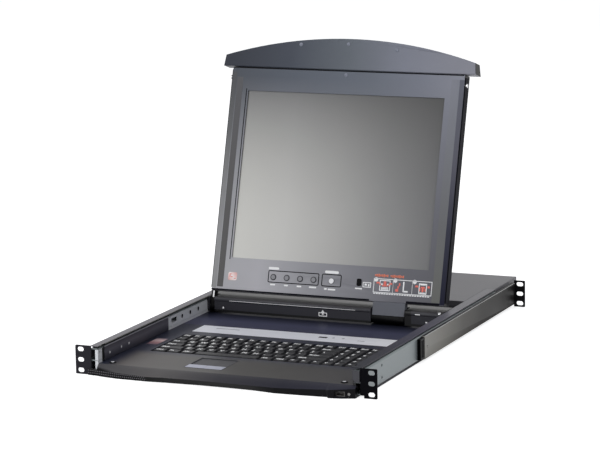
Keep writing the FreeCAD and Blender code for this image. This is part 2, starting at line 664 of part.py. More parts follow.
def inner_member(sign):
    """Inner member: plate with a turned-out front stop, and its two runners in the track."""
    lo = MEMBER_WALL / 2 + RUN + MEMBER_WALL + RUN
    hi = SLIDE_TOP - SLIDE_WALL - RUN - MEMBER_WALL - RUN
    depth = SLIDE_WEB - 2 * SHEET - 2 * RUN
    plate = block(PLATE_IN, PLATE_OUT, INNER_START, INNER_END, RUN, PLATE_TOP)
    low = RUN if sign > 0 else MEMBER_WALL / 2
    high = PLATE_TOP if sign > 0 else STOP_DROP
    stop = block(PLATE_OUT - FIT, PLATE_IN + STOP_WIDTH, INNER_START, INNER_START + PLATE, low, high)
    runners = [block(PLATE_OUT, depth, RUNNER_START, INNER_END, z, z + MEMBER_WALL)
               for z in (lo, hi - MEMBER_WALL)]
    middle = (lo + hi) / 2
    x0, reach = PLATE_IN - OVERCUT, PLATE + 2 * OVERCUT
    window = block(x0, x0 + reach, WINDOW_Y, WINDOW_Y + WINDOW_LENGTH, lo + WINDOW_RIM, hi - WINDOW_RIM)
    holes = [rod(PLATE_HOLE, (x0, WINDOW_Y + HOLE_START + HOLE_STEP * i, middle), (1, 0, 0), reach)
             for i in range(3)]
    keyhole = block(x0, x0 + reach, INNER_START + KEYHOLE[0], INNER_START + KEYHOLE[1], middle + 1, hi)
    return in_track(join([plate, stop] + runners).cut([window, keyhole] + holes), sign)


def in_track(shape, sign):
    """Member drawn in the upper track, or turned over into the lower one."""
    return shape if sign > 0 else shape.mirror(Vector(0, 0, 0), Vector(0, 0, 1))


# ---------------------------------------------------------------- keyboard drawer

def tray_pan():
    """Drawer pan: floor, side walls on the inner members, rear wall."""
    y0 = LIP_REAR
    floor = block(-PLATE_IN, PLATE_IN, y0, DRAWER_LENGTH, TRAY_BOTTOM, TRAY_FLOOR)
    side = block(PLATE_IN - SHEET, PLATE_IN, y0, DRAWER_LENGTH, TRAY_FLOOR, DECK_BOTTOM)
    back = block(-PLATE_IN, PLATE_IN, DRAWER_LENGTH - SHEET, DRAWER_LENGTH, TRAY_FLOOR, DECK_BOTTOM)
    return join([floor, side, mirror(side), back])


def deck_openings():
    """Cutters through the deck for the keys, the strip and the touch pad."""
    z0, z1, m = DECK_BOTTOM - OVERCUT, DECK_TOP + OVERCUT, KEY_MARGIN
    keys = block(KEY_FIELD_LEFT - m, KEY_FIELD_RIGHT + m, KEY_FIELD_FRONT - m,
                 KEY_FIELD_FRONT + KEY_FIELD_DEPTH + m, z0, z1)
    pad = block(PAD_LEFT, PAD_LEFT + PAD_WIDTH, PAD_FRONT, PAD_FRONT + PAD_DEPTH, z0, z1)
    strip = block(-STRIP_SPAN / 2, STRIP_SPAN / 2, STRIP_FRONT, STRIP_FRONT + STRIP_DEPTH,
                  DECK_TOP - STRIP_SINK, z1)
    return [keys, pad, strip]


def key_deck():
    """Palm rest and key surround."""
    deck = block(-PLATE_IN, PLATE_IN, LIP_REAR, DECK_SPLIT, DECK_BOTTOM, DECK_TOP)
    return deck.cut(deck_openings())


def rear_deck():
    """Glossy plate behind the strip, under the display hinge."""
    return block(-PLATE_IN, PLATE_IN, DECK_SPLIT, DRAWER_LENGTH, DECK_BOTTOM, DECK_TOP)


def status_strip():
    """Pale strip let into the deck behind the keys, with its small window."""
    half, y0 = STRIP_SPAN / 2 - INLAY, STRIP_FRONT + INLAY
    strip = block(-half, half, y0, STRIP_FRONT + STRIP_DEPTH - INLAY, DECK_TOP - STRIP_SINK, DECK_TOP + RUN)
    x0, x1, ahead, behind = STRIP_WINDOW
    y0, y1 = STRIP_FRONT + ahead, STRIP_FRONT + behind
    return strip.cut(block(x0, x1, y0, y1, DECK_TOP - STRIP_SINK / 4, DECK_TOP + OVERCUT))


def lip_section(share, front, crest, foot):
    """Cross-section of the lip: top that curls down to its front edge, face raked back to the foot."""
    x, rear = share * LIP_HALF, LIP_REAR
    curl = DECK_TOP - LIP_CURL[1] * (DECK_TOP - crest)
    points = [Vector(x, rear, DECK_TOP), Vector(x, front * LIP_CURL[0], curl), Vector(x, front, crest)]
    curve = Part.BSplineCurve()
    curve.interpolate(points)
    corners = [points[2], Vector(x, foot, -TOP), Vector(x, rear, -TOP), points[0]]
    sides = [Part.LineSegment(a, b).toShape() for a, b in zip(corners, corners[1:])]
    return Part.Wire([curve.toShape()] + sides)


def front_lip():
    """Moulded front lip lofted through its sections, with the block for the front ports."""
    half, rear = LIP_HALF, LIP_REAR + OVERCUT
    body = Part.makeLoft([lip_section(*row) for row in LIP_SECTIONS], True, True)
    first, ahead = LIP_SECTIONS[0][1], LIP_SECTIONS[3][1] - 10
    end, root = -half - LIP_WING, -half + OVERCUT
    wing = [(root, first), (end, WING_TIP), (end, -RUN), (root, -RUN)]
    wing = prism([(x, y, -TOP) for x, y in wing], (0, 0, LIP_SECTIONS[0][2] + TOP))
    hollow = block(-half + LIP_WALL, PORT_BLOCK * half - LIP_WALL, -RUN, rear, -TOP + LIP_WALL,
                   DECK_TOP - LIP_WALL)
    port = centred(USB_X, USB_Z, USB_SHELL[0] + 2 * RUN, USB_SHELL[1] + 2 * RUN, ahead, rear)
    reset = rod(RESET_RADIUS + RUN, (RESET_X, ahead, USB_Z), (0, 1, 0), rear - ahead)
    stop_z, top = -STOP_DROP - RUN, DECK_TOP + OVERCUT
    lowered = block(-half - OVERCUT, RUN - PLATE_IN, first - OVERCUT, rear, stop_z, top)
    stop = block(PLATE_IN - RUN, half + OVERCUT, INNER_START - RUN, rear, stop_z, top)
    plate = block(PLATE_IN - RUN, PLATE_OUT + RUN, INNER_START - RUN, rear, -PLATE_TOP - RUN, top)
    return join([body, wing]).cut([hollow, port, reset, lowered, stop, plate, mirror(plate)])


def front_usb():
    """USB socket of the front lip."""
    shell = centred(USB_X, USB_Z, *USB_SHELL, -USB_REACH, LIP_REAR)
    return shell.cut(centred(USB_X, USB_Z, *USB_MOUTH, -USB_REACH - OVERCUT, LIP_REAR - 2))


def reset_button():
    """Round reset button beside the socket."""
    return rod(RESET_RADIUS, (RESET_X, -RESET_REACH, USB_Z), (0, 1, 0), RESET_REACH)


KEY_ROWS = [
    [1.0] * 18,
    [1.0] * 13 + [2.0] + [1.0] * 3,
    [1.5] + [1.0] * 12 + [1.5] + [1.0] * 3,
    [1.75] + [1.0] * 11 + [2.25] + [1.0] * 3,
    [2.25] + [1.0] * 10 + [2.75] + [1.0] * 3,
    [1.25] * 3 + [5.75] + [1.25] * 2 + [1.0] * 6,
]


def key_cap(x, y, width, depth):
    """One key: tapered cap on a square stem."""
    w, d, taper = width / 2, depth / 2, KEY_TAPER
    bottom = DECK_TOP + KEY_PROUD - KEY_HEIGHT
    cap = Part.makeWedge(-w, 0, -d, taper - d, taper - w, w, KEY_HEIGHT, d, d - taper, w - taper)
    cap.rotate(Vector(0, 0, 0), Vector(1, 0, 0), 90)
    cap.translate(Vector(x, y, bottom))
    half = KEY_STEM / 2
    stem = block(x - half, x + half, y - half, y + half, bottom - KEY_STEM_LENGTH, bottom)
    return cap.fuse(stem)


def key_row(index):
    """All keys of one row, counted from the back."""
    pitch = KEY_FIELD_DEPTH / len(KEY_ROWS)
    unit = (KEY_FIELD_RIGHT - KEY_FIELD_LEFT) / sum(KEY_ROWS[index])
    y = KEY_FIELD_FRONT + KEY_FIELD_DEPTH - (index + 0.5) * pitch
    x = KEY_FIELD_LEFT
    keys = []
    for width in KEY_ROWS[index]:
        keys.append(key_cap(x + width * unit / 2, y, width * unit - KEY_GAP, pitch - KEY_GAP))
        x += width * unit
    return Part.makeCompound(keys)


def key_base():
    """Frame under the keys with one stem groove per row."""
    top = DECK_TOP + KEY_PROUD - KEY_HEIGHT - KEY_TRAVEL - FIT
    x0, x1, wall = KEY_FIELD_LEFT, KEY_FIELD_RIGHT, KEY_BASE_WALL
    y0, y1 = KEY_FIELD_FRONT, KEY_FIELD_FRONT + KEY_FIELD_DEPTH
    body = block(x0, x1, y0, y1, TRAY_FLOOR, top)
    hollow = block(x0 + wall, x1 - wall, y0 + wall, y1 - wall, TRAY_FLOOR - OVERCUT,
                   top - KEY_STEM_LENGTH - DECK_SHEET)
    pitch = KEY_FIELD_DEPTH / len(KEY_ROWS)
    half, inset = KEY_STEM / 2 + RUN, wall + OVERCUT
    rows = [y1 - (i + 0.5) * pitch for i in range(len(KEY_ROWS))]
    grooves = [block(x0 + inset, x1 - inset, y - half, y + half, top - KEY_STEM_LENGTH, top + OVERCUT)
               for y in rows]
    return body.cut([hollow] + grooves)


def touch_pad():
    """Touch pad: raised rim, sunk sensing face, pocket for the two buttons."""
    x0, x1 = PAD_LEFT + INLAY, PAD_LEFT + PAD_WIDTH - INLAY
    y0, y1 = PAD_FRONT + INLAY, PAD_FRONT + PAD_DEPTH - INLAY
    top, split = DECK_TOP + OVERCUT, y0 + PAD_BUTTON_DEPTH
    body = block(x0, x1, y0, y1, TRAY_FLOOR, DECK_TOP + RUN)
    face = block(x0 + PAD_RIM, x1 - PAD_RIM, split + PAD_RIM, y1 - PAD_RIM, DECK_TOP - PAD_SINK, top)
    pocket = block(x0 + PAD_EDGE, x1 - PAD_EDGE, y0 + PAD_EDGE, split, DECK_TOP - PAD_POCKET, top)
    wall = KEY_BASE_WALL
    hollow = block(x0 + wall, x1 - wall, y0 + wall, y1 - wall, TRAY_FLOOR - OVERCUT,
                   DECK_TOP - PAD_POCKET - wall)
    return body.cut([face, pocket, hollow])


def touch_button(index):
    """Left (0) or right (1) button bar in front of the pad."""
    inset = INLAY + PAD_EDGE + RUN
    x0, x1 = PAD_LEFT + inset, PAD_LEFT + PAD_WIDTH - inset
    middle = (x0 + x1) / 2
    if index == 0:
        x1 = middle - RUN / 2
    else:
        x0 = middle + RUN / 2
    return block(x0, x1, PAD_FRONT + inset, PAD_FRONT + INLAY + PAD_BUTTON_DEPTH - RUN,
                 DECK_TOP - PAD_POCKET + RUN + PAD_TRAVEL, DECK_TOP + FIT)


def bumpers():
    """Two rubber dots on the palm rest that the closed display meets."""
    return both(rod(BUMPER_RADIUS, (BUMPER_X, BUMPER_Y, DECK_TOP), (0, 0, 1), BUMPER_HEIGHT))


# ---------------------------------------------------------------- display carriage

def side_cover():
    """Black cover on the inside of the display slide, notched for the latch pin."""
    top = TOP - SHEET - COVER_DROP
    wall = block(WALL_IN, PLATE_IN, COVER_START, COVER_START + COVER_LENGTH, DECK_TOP + FIT, top)
    pin_z = HINGE_Z - LCD_FRONT + 2 * LATCH_PIN_RADIUS
    notch = block(WALL_IN - OVERCUT, PLATE_IN + OVERCUT, PIN_Y - LATCH_NOTCH, PIN_Y + LATCH_NOTCH,
                  pin_z - LATCH_PIN_RADIUS - OVERCUT, top + OVERCUT)
    screws = [rod(SCREW_HEAD, (WALL_IN - SCREW_PROUD, y, SCREW_Z), (1, 0, 0), SCREW_PROUD + SHEET)
              for y in COVER_SCREWS]
    return wall.cut(notch).fuse(screws)


def front_tab():
    """Chamfered plate that closes the front of the right-hand display track."""
    low, reach = RUN, EAR_IN - FIT - RUN
    outline = [(PLATE_IN, low + TAB_CHAMFER[1]), (PLATE_IN + TAB_CHAMFER[0], low), (reach, low),
               (reach, SLIDE_TOP), (PLATE_IN, SLIDE_TOP)]
    return profile_xz(outline, INNER_START - SHEET, INNER_START)


def hinge_gaps():
    """Ranges of X that the two hinge leaves take in the base, with running room."""
    leaves = [(NECK_LEFT, NECK_LEFT + NECK_WIDTH), (SMALL_LEAF_LEFT, SMALL_LEAF_LEFT + SMALL_LEAF_WIDTH)]
    return [(a - NECK_GAP, b + NECK_GAP) for a, b in leaves]


def base_section(inset):
    """Side outline of the hinge base: rolled top edge over a set-back lower face."""
    y0, z0, radius = BASE_FRONT + inset, BASE_BOTTOM - inset, BASE_ROLL - inset
    rear, top = BASE_FRONT + BASE_DEPTH + inset, TOP - inset
    roll = Vector(-PLATE_IN, y0 + radius * (1 - math.sqrt(0.5)), top - radius * (1 - math.sqrt(0.5)))
    mitre = inset * math.tan(math.radians(22.5))
    corners = [(y0, top - radius), (y0, BASE_STEP_Z - mitre),
               (y0 + BASE_STEP, BASE_STEP_Z - BASE_STEP - mitre), (y0 + BASE_STEP, z0), (rear, z0), (rear, top),
               (y0 + radius, top)]
    corners = [Vector(-PLATE_IN, y, z) for y, z in corners]
    edges = [Part.LineSegment(a, b).toShape() for a, b in zip(corners, corners[1:])]
    edges.append(Part.Arc(corners[-1], roll, corners[0]).toShape())
    return Part.Face(Part.Wire(edges))


def base_run(inset, x0, x1):
    """Length of the base outline between two planes."""
    run = base_section(inset).extrude(Vector(x1 - x0, 0, 0))
    run.translate(Vector(x0 + PLATE_IN, 0, 0))
    return run


def hinge_base():
    """Folded beam between the display slides, open behind, with a walled pocket for each leaf."""
    x, rear = PLATE_IN, BASE_FRONT + BASE_DEPTH
    pocket_rear, low = BASE_FRONT + POCKET_DEPTH, BASE_BOTTOM - OVERCUT
    body = base_run(0, -x, x)
    start = -x + SHEET
    for a, b in sorted(hinge_gaps()):
        body = body.cut(base_run(SHEET, start, a - SHEET))
        body = body.cut(block(a, b, BASE_FRONT - OVERCUT, pocket_rear, low, TOP + OVERCUT))
        body = body.cut(block(a - SHEET, b + SHEET, pocket_rear + SHEET, rear + OVERCUT, low, TOP - SHEET))
        start = b + SHEET
    body = body.cut(base_run(SHEET, start, x - SHEET))
    bores = [rod(HINGE_PIN_RADIUS, (a - SHEET, HINGE_Y, HINGE_Z), (1, 0, 0), b - a + 2 * SHEET)
             for a, b in hinge_gaps()]
    y0, y1 = BASE_FRONT - OVERCUT, rear + OVERCUT
    under_flange = block(x - BASE_NOTCH, x + OVERCUT, y0, y1, SLIDE_TOP - FIT, TOP + OVERCUT)
    above_track = block(x - FIT, x + OVERCUT, y0, y1, low, MEMBER_WALL / 2)
    ends = [under_flange, above_track]
    return body.cut(bores + ends + [mirror(end) for end in ends])


def hinge_pins():
    """Hinge pins, pressed into the base and free in the leaves."""
    pins = [rod(HINGE_PIN_RADIUS, (a - SHEET, HINGE_Y, HINGE_Z), (1, 0, 0), b - a + 2 * SHEET)
            for a, b in hinge_gaps()]
    return Part.makeCompound(pins)


# ---------------------------------------------------------------- display panel
# Drawn upright about the hinge axis, front face towards -Y, then tilted back.

PANEL_FRONT = -LCD_FRONT
PANEL_BACK = LCD_THICK - LCD_FRONT
PANEL_TOP = HINGE_DROP + LCD_HEIGHT


def tilted(shape):
    """Panel piece in its rest position on the hinge."""
    placed = shape.copy()
    placed.Placement = Placement(Vector(0, HINGE_Y, HINGE_Z), Rotation(Vector(1, 0, 0), -LCD_TILT))
    return placed


def button_places():
    """X of the four menu buttons and of the power button."""
    return [MENU_BUTTON_LEFT + i * MENU_BUTTON_PITCH for i in range(4)] + [POWER_BUTTON_X]


def round_front(shape, radius):
    """Fillet the edges around the front face of a panel piece."""
    return round_edges(shape, radius, lambda e: abs(e.CenterOfMass.y - PANEL_FRONT) < 1e-6)


def lcd_bezel():
    """Front shell with the screen opening, button holes and a service slot."""
    split = PANEL_FRONT + BEZEL_DEPTH
    body = block(-LCD_HALF, LCD_HALF, PANEL_FRONT, split, HINGE_DROP, PANEL_TOP)
    body = round_front(body, BEZEL_ROUND)
    w, y0 = BEZEL_WALL, PANEL_FRONT - OVERCUT
    hollow = block(w - LCD_HALF, LCD_HALF - w, PANEL_FRONT + w, split + OVERCUT, HINGE_DROP + w, PANEL_TOP - w)
    x, z0, z = SCREEN_WIDTH / 2, HINGE_DROP + SCREEN_BOTTOM, HINGE_DROP + BUTTON_HEIGHT
    window = block(-x, x, y0, PANEL_FRONT + w + OVERCUT, z0, z0 + SCREEN_HEIGHT)
    holes = [rod(BUTTON_RADIUS + RUN, (x, y0, z), (0, 1, 0), w + 2 * OVERCUT) for x in button_places()]
    left, right, low, high = SERVICE_SLOT
    slot = block(left, right, y0, PANEL_FRONT + 0.6 * w, z + low, z + high)
    return tilted(body.cut([hollow, window, slot] + holes))


def lcd_back_cover():
    """Back shell of the panel, with a shallow stamped field."""
    split = PANEL_FRONT + BEZEL_DEPTH
    w = BEZEL_WALL
    body = block(-LCD_HALF, LCD_HALF, split, PANEL_BACK, HINGE_DROP, PANEL_TOP)
    body = round_edges(body, w, lambda e: abs(e.CenterOfMass.y - PANEL_BACK) < 1e-6)
    hollow = block(w - LCD_HALF, LCD_HALF - w, split - OVERCUT, PANEL_BACK - w, HINGE_DROP + w, PANEL_TOP - w)
    x = LCD_HALF - BACK_MARGIN
    field = block(-x, x, PANEL_BACK - 0.3 * w, PANEL_BACK + OVERCUT, HINGE_DROP + BACK_MARGIN,
                  PANEL_TOP - BACK_MARGIN)
    return tilted(body.cut([hollow, field]))


def behind_screen(margin, y0, y1):
    """Block behind the screen opening, larger all round by a margin."""
    x, z0 = SCREEN_WIDTH / 2 + margin, HINGE_DROP + SCREEN_BOTTOM
    return tilted(block(-x, x, y0, y1, z0 - margin, z0 + SCREEN_HEIGHT + margin))


def lcd_glass():
    """Screen pane behind the bezel."""
    y0 = PANEL_FRONT + BEZEL_WALL
    return behind_screen(GLASS_MARGIN, y0, y0 + GLASS)


def lcd_cell():
    """Display cell with its backlight, behind the pane."""
    y0 = PANEL_FRONT + BEZEL_WALL + GLASS
    return behind_screen(2 * GLASS_MARGIN, y0, y0 + CELL_DEPTH)


def cap_outline(inset, y):
    """Arched outline of the cap, drawn in from its edge by an inset, as a face."""
    half = CAP_HALF - inset
    z0 = PANEL_TOP + CAP_SHADOW_GAP + inset
    end = PANEL_TOP + CAP_END_HEIGHT - inset
    top = PANEL_TOP + CAP_MID_HEIGHT - inset
    shoulder = half - CAP_LEAN
    left, right = Vector(-shoulder, y, end), Vector(shoulder, y, end)
    edges = [Part.Arc(left, Vector(0, y, top), right).toShape(),
             Part.LineSegment(right, Vector(half, y, z0)).toShape(),
             Part.LineSegment(Vector(half, y, z0), Vector(-half, y, z0)).toShape(),
             Part.LineSegment(Vector(-half, y, z0), left).toShape()]
    return Part.Face(Part.Wire(edges))


def behind_slope(inset, low, high):
    """Wedge behind the sloping back of the cap, from one height to another."""
    foot, crown, far = PANEL_BACK - inset, PANEL_BACK - CAP_TAPER - inset, PANEL_BACK + CAP_TAPER
    outline = [(foot, low), (far, low), (far, high + CAP_TAPER), (crown, high + CAP_TAPER), (crown, high)]
    return profile_yz(outline, -CAP_HALF - OVERCUT, CAP_HALF + OVERCUT)


def arched_cap():
    """Arched handle cap over the top edge of the panel, thinner towards its crown."""
    wall, low, high = BEZEL_WALL, PANEL_TOP + CAP_SHADOW_GAP, PANEL_TOP + CAP_MID_HEIGHT
    body = cap_outline(0, PANEL_FRONT).extrude(Vector(0, LCD_THICK, 0)).cut(behind_slope(0, low, high))
    body = round_front(body, CAP_ROUND)
    hollow = cap_outline(wall, PANEL_FRONT + wall).extrude(Vector(0, LCD_THICK, 0))
    body = body.cut(hollow.cut(behind_slope(wall, low, high)))
    x = LCD_HALF - CAP_TAPER
    tongue = block(-x, x, PANEL_FRONT + 1.5 * wall, PANEL_BACK - 2.5 * wall, PANEL_TOP, low)
    return tilted(join([body, tongue]))


def hinge_leaf(left, width):
    """Leaf from the hinge barrel up to the bottom edge of the panel."""
    front = PANEL_FRONT
    plate = block(left, left + width, front, front + NECK_THICK, 0, HINGE_DROP)
    barrel = rod(HINGE_BARREL_RADIUS, (left, 0, 0), (1, 0, 0), width)
    bore = rod(HINGE_PIN_RADIUS + PIN_CLEAR, (left - OVERCUT, 0, 0), (1, 0, 0), width + 2 * OVERCUT)
    return tilted(join([plate, barrel]).cut(bore))


def hinge_leaves():
    """Wide right leaf, flush with the panel face, and the small left one."""
    places = [(NECK_LEFT, NECK_WIDTH), (SMALL_LEAF_LEFT, SMALL_LEAF_WIDTH)]
    return Part.makeCompound([hinge_leaf(left, width) for left, width in places])


def latch_pins():
    """Side pins near the top edge that drop into the notches of the rails."""
    z = HINGE_DROP + LATCH_PIN_HEIGHT
    y = PANEL_FRONT + 2 * LATCH_PIN_RADIUS
    neck = PIN_TIP - PIN_HEAD
    shank = rod(LATCH_PIN_RADIUS, (LCD_HALF, y, z), (1, 0, 0), neck - LCD_HALF)
    head = rod(LATCH_PIN_RADIUS + PIN_HEAD / 2, (neck, y, z), (1, 0, 0), PIN_HEAD)
    return tilted(both(join([shank, head])))


def panel_button(x):
    """Push button with its shoulder behind the bezel wall."""
    z = HINGE_DROP + BUTTON_HEIGHT
    seat = PANEL_FRONT + BEZEL_WALL + PIN_CLEAR
    cap = rod(BUTTON_RADIUS, (x, PANEL_FRONT - BUTTON_PROUD, z), (0, 1, 0), BUTTON_PROUD + BEZEL_WALL + RUN)
    shoulder = rod(BUTTON_RADIUS + BUTTON_SHOULDER, (x, seat, z), (0, 1, 0), BUTTON_SHOULDER)
    return tilted(join([cap, shoulder]))


def build_housing():
    """Everything that stays bolted to the rack."""
    save_pair("front_ear", front_ear())
    save_pair("slide_outer", slide_outer())
    save_pair("top_flange", top_flange())
    save_pair("rear_bracket", rear_bracket())
    guides = bracket_guides()
    save("bracket_guides", Part.makeCompound(guides + [mirror(g) for g in guides]))
    save("bottom_pan", bottom_pan())
    save("rear_cover", rear_cover())
    save("rear_panel", rear_panel())
    save("network_jacks", jack_block())
    save("console_ports", console_ports())
    save("power_inlet", power_inlet())
    frame, rocker = power_switch()
    save("power_switch_frame", frame)
    save("power_switch_rocker", rocker)
    frame, rotor = fan()
    save("fan_frame", frame)
    save("fan_rotor", rotor)
    save("power_supply", power_supply())
    save("main_board", main_board())


def build_slides():
    """Middle and inner members of both drawer levels."""
    save("keyboard_slide_middles", both(middle_member(-1)))
    save("display_slide_middles", both(middle_member(1)))
    save("keyboard_slide_inners", both(inner_member(-1)))
    save_pair("display_slide_inner", inner_member(1))


def build_keyboard_drawer():
    """Lower drawer level."""
    save("tray_pan", tray_pan())
    save("key_deck", key_deck())
    save("rear_deck", rear_deck())
    save("status_strip", status_strip())
    save("front_lip", front_lip())
    save("front_usb_socket", front_usb())
    save("reset_button", reset_button())
    save("key_base", key_base())
    for i in range(len(KEY_ROWS)):
        save("key_row_%d" % (i + 1), key_row(i))
    save("touch_pad", touch_pad())
    save("touch_button_left", touch_button(0))
    save("touch_button_right", touch_button(1))
    save("rubber_bumpers", bumpers())


def build_display():
    """Upper drawer level and the display panel."""
    save("side_cover_right", Part.makeCompound([side_cover(), front_tab()]))
    save("side_cover_left", mirror(side_cover()))
    save("hinge_base", hinge_base())
    save("hinge_pins", hinge_pins())
    save("hinge_leaves", hinge_leaves())
    save("lcd_bezel", lcd_bezel())
    save("lcd_back_cover", lcd_back_cover())
    save("lcd_glass", lcd_glass())
    save("lcd_cell", lcd_cell())
    save("arched_cap", arched_cap())
    save("latch_pins", latch_pins())
    names = ["menu_button_%d" % (i + 1) for i in range(4)] + ["power_button"]
    for name, x in zip(names, button_places()):
        save(name, panel_button(x))


os.makedirs("parts", exist_ok=True)
build_housing()
build_slides()
build_keyboard_drawer()
build_display()
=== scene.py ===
import json
import math

import bmesh
import bpy
import numpy as np
from mathutils import Matrix, Vector


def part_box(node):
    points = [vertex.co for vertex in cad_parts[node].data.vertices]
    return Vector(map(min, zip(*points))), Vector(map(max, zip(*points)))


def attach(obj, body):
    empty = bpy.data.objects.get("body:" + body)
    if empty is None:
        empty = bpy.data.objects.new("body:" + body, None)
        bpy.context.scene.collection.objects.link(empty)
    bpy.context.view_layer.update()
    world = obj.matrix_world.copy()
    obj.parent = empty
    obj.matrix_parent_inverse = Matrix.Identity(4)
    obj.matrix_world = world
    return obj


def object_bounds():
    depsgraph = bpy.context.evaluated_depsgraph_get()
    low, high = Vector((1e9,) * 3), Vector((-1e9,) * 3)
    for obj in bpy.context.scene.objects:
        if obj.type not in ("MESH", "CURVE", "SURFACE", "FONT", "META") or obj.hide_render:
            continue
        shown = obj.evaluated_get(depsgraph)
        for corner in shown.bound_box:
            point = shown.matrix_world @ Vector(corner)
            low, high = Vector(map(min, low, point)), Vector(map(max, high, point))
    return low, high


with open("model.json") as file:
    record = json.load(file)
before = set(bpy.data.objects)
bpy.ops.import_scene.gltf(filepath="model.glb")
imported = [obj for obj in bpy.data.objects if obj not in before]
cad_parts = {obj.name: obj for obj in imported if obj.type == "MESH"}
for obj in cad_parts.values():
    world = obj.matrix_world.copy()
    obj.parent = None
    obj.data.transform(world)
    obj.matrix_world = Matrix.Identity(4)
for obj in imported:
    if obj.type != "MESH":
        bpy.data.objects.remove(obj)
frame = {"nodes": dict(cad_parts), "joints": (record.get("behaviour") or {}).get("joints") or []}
cad_bounds = [list(map(float, corner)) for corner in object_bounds()]


# ---- Room ----
# A plain pale studio floor under large soft lamps. The world and the floor show
# white to the lens and in reflections, and light the drawer at a plain level.

WORLD_FILL, FLOOR_GLOW, FLOOR_REACH = 0.34, 0.74, 40.0
COOL_WHITE, PAPER_GREY = (0.93, 0.95, 1.0, 1), (0.8, 0.8, 0.8, 1)
LAMPS = [  # name, place, point it is turned to, side of the square, power
    ("key_lamp", (-1.6, -2.2, 2.6), (0, 0.3, 0.1), 2.0, 40),
    ("side_lamp", (2.6, -0.8, 1.6), (0, 0.3, 0.0), 1.6, 17),
    ("back_lamp", (0.2, 2.4, 2.2), (0, 0.4, 0.1), 1.6, 20),
    ("front_lamp", (-0.3, -2.8, 0.45), (0, 0.4, 0.15), 1.6, 16),
]
CAMERA_PLACE, CAMERA_TURN = (1.60716, -3.42055, 0.90489), (23.215, 10.417, -0.93)
LENS, SENSOR, LENS_SHIFT, FAR_END = 160.09, 36.0, (-0.01486, 0.00448), 50


def add_node(tree, kind, settings=None, **inputs):
    """New shader node: an input takes a socket or a plain value, and _ in its name stands for a space."""
    node = tree.nodes.new(kind if kind.startswith("Node") else "ShaderNode" + kind)
    for key, value in (settings or {}).items():
        setattr(node, key, value)
    for key, value in inputs.items():
        socket = node.inputs[int(key[3:])] if key.startswith("in_") else node.inputs[key.replace("_", " ")]
        if isinstance(value, bpy.types.NodeSocket):
            tree.links.new(value, socket)
        else:
            socket.default_value = value
    return node


def calculate(tree, operation, *values):
    """Output of a Math node over sockets or numbers."""
    return add_node(tree, "Math", {"operation": operation},
                    **{"in_%d" % i: value for i, value in enumerate(values)}).outputs[0]


def largest(tree, *values):
    """Socket with the largest of two or more values: any of several masks."""
    most = values[0]
    for value in values[1:]:
        most = calculate(tree, "MAXIMUM", most, value)
    return most


def white_to_lens(tree):
    """Socket that is 1 for camera, glossy and transmission rays."""
    path = add_node(tree, "LightPath").outputs
    return largest(tree, path["Is Camera Ray"], path["Is Glossy Ray"], path["Is Transmission Ray"])


def studio_world():
    """World that fills the shadows with cool light and is plain white to the lens."""
    world = bpy.data.worlds.new("studio")
    world.use_nodes = True
    tree = world.node_tree
    tree.nodes.clear()
    fill = add_node(tree, "Background", Color=COOL_WHITE, Strength=WORLD_FILL)
    seen = add_node(tree, "Background", Color=(1, 1, 1, 1), Strength=1.0)
    mix = add_node(tree, "MixShader", in_0=white_to_lens(tree), in_1=fill.outputs[0], in_2=seen.outputs[0])
    add_node(tree, "OutputWorld", Surface=mix.outputs[0])
    bpy.context.scene.world = world


def studio_floor():
    """Flat square plate under the object: height is constant over x and y."""
    x, y = np.meshgrid([-FLOOR_REACH, FLOOR_REACH], [-FLOOR_REACH, FLOOR_REACH])
    corners = np.stack([x, y, np.full_like(x, cad_bounds[0][2])], -1).reshape(-1, 3)
    mesh = bpy.data.meshes.new("floor")
    mesh.from_pydata(corners.tolist(), [], [(0, 1, 3, 2)])
    floor = bpy.data.objects.new("floor", mesh)
    bpy.context.scene.collection.objects.link(floor)
    material = bpy.data.materials.new("floor_paper")
    material.use_nodes = True
    tree = material.node_tree
    tree.nodes.clear()
    paper = add_node(tree, "BsdfDiffuse", Color=PAPER_GREY)
    glow = add_node(tree, "Emission", Strength=calculate(tree, "MULTIPLY", white_to_lens(tree), FLOOR_GLOW))
    both = add_node(tree, "AddShader", in_0=paper.outputs[0], in_1=glow.outputs[0])
    add_node(tree, "OutputMaterial", Surface=both.outputs[0])
    mesh.materials.append(material)


def soft_lamp(name, place, aim, size, power):
    """Square area lamp turned towards a point."""
    lamp = bpy.data.lights.new(name, "AREA")
    lamp.size = size
    lamp.energy = power
    holder = bpy.data.objects.new(name, lamp)
    direction = Vector(aim) - Vector(place)
    holder.matrix_world = Matrix.Translation(place) @ direction.to_track_quat("-Z", "Y").to_matrix().to_4x4()
    bpy.context.scene.collection.objects.link(holder)


def studio_camera():
    """Long lens from the front right, a little above: turned about z, tilted down from level, then rolled."""
    yaw, pitch, roll = (math.radians(angle) for angle in CAMERA_TURN)
    camera = bpy.data.cameras.new("camera")
    camera.sensor_width = SENSOR
    camera.lens = LENS
    camera.shift_x, camera.shift_y = LENS_SHIFT
    camera.clip_end = FAR_END
    holder = bpy.data.objects.new("camera", camera)
    tilt = Matrix.Rotation(yaw, 4, "Z") @ Matrix.Rotation(math.pi / 2 - pitch, 4, "X")
    holder.matrix_world = Matrix.Translation(CAMERA_PLACE) @ tilt @ Matrix.Rotation(roll, 4, "Z")
    bpy.context.scene.collection.objects.link(holder)
    bpy.context.scene.camera = holder


bpy.context.scene.view_settings.view_transform = "Standard"
studio_world()
studio_floor()
for lamp_values in LAMPS:
    soft_lamp(*lamp_values)
studio_camera()


# ---- Front ears ----
# Folded steel ears that bolt to the front posts of the rack, each with three
# slots. They are powder coated black, with a fine orange-peel texture; the left ear
# is painted lighter charcoal as painted light on the same black coat.

MM = 0.001


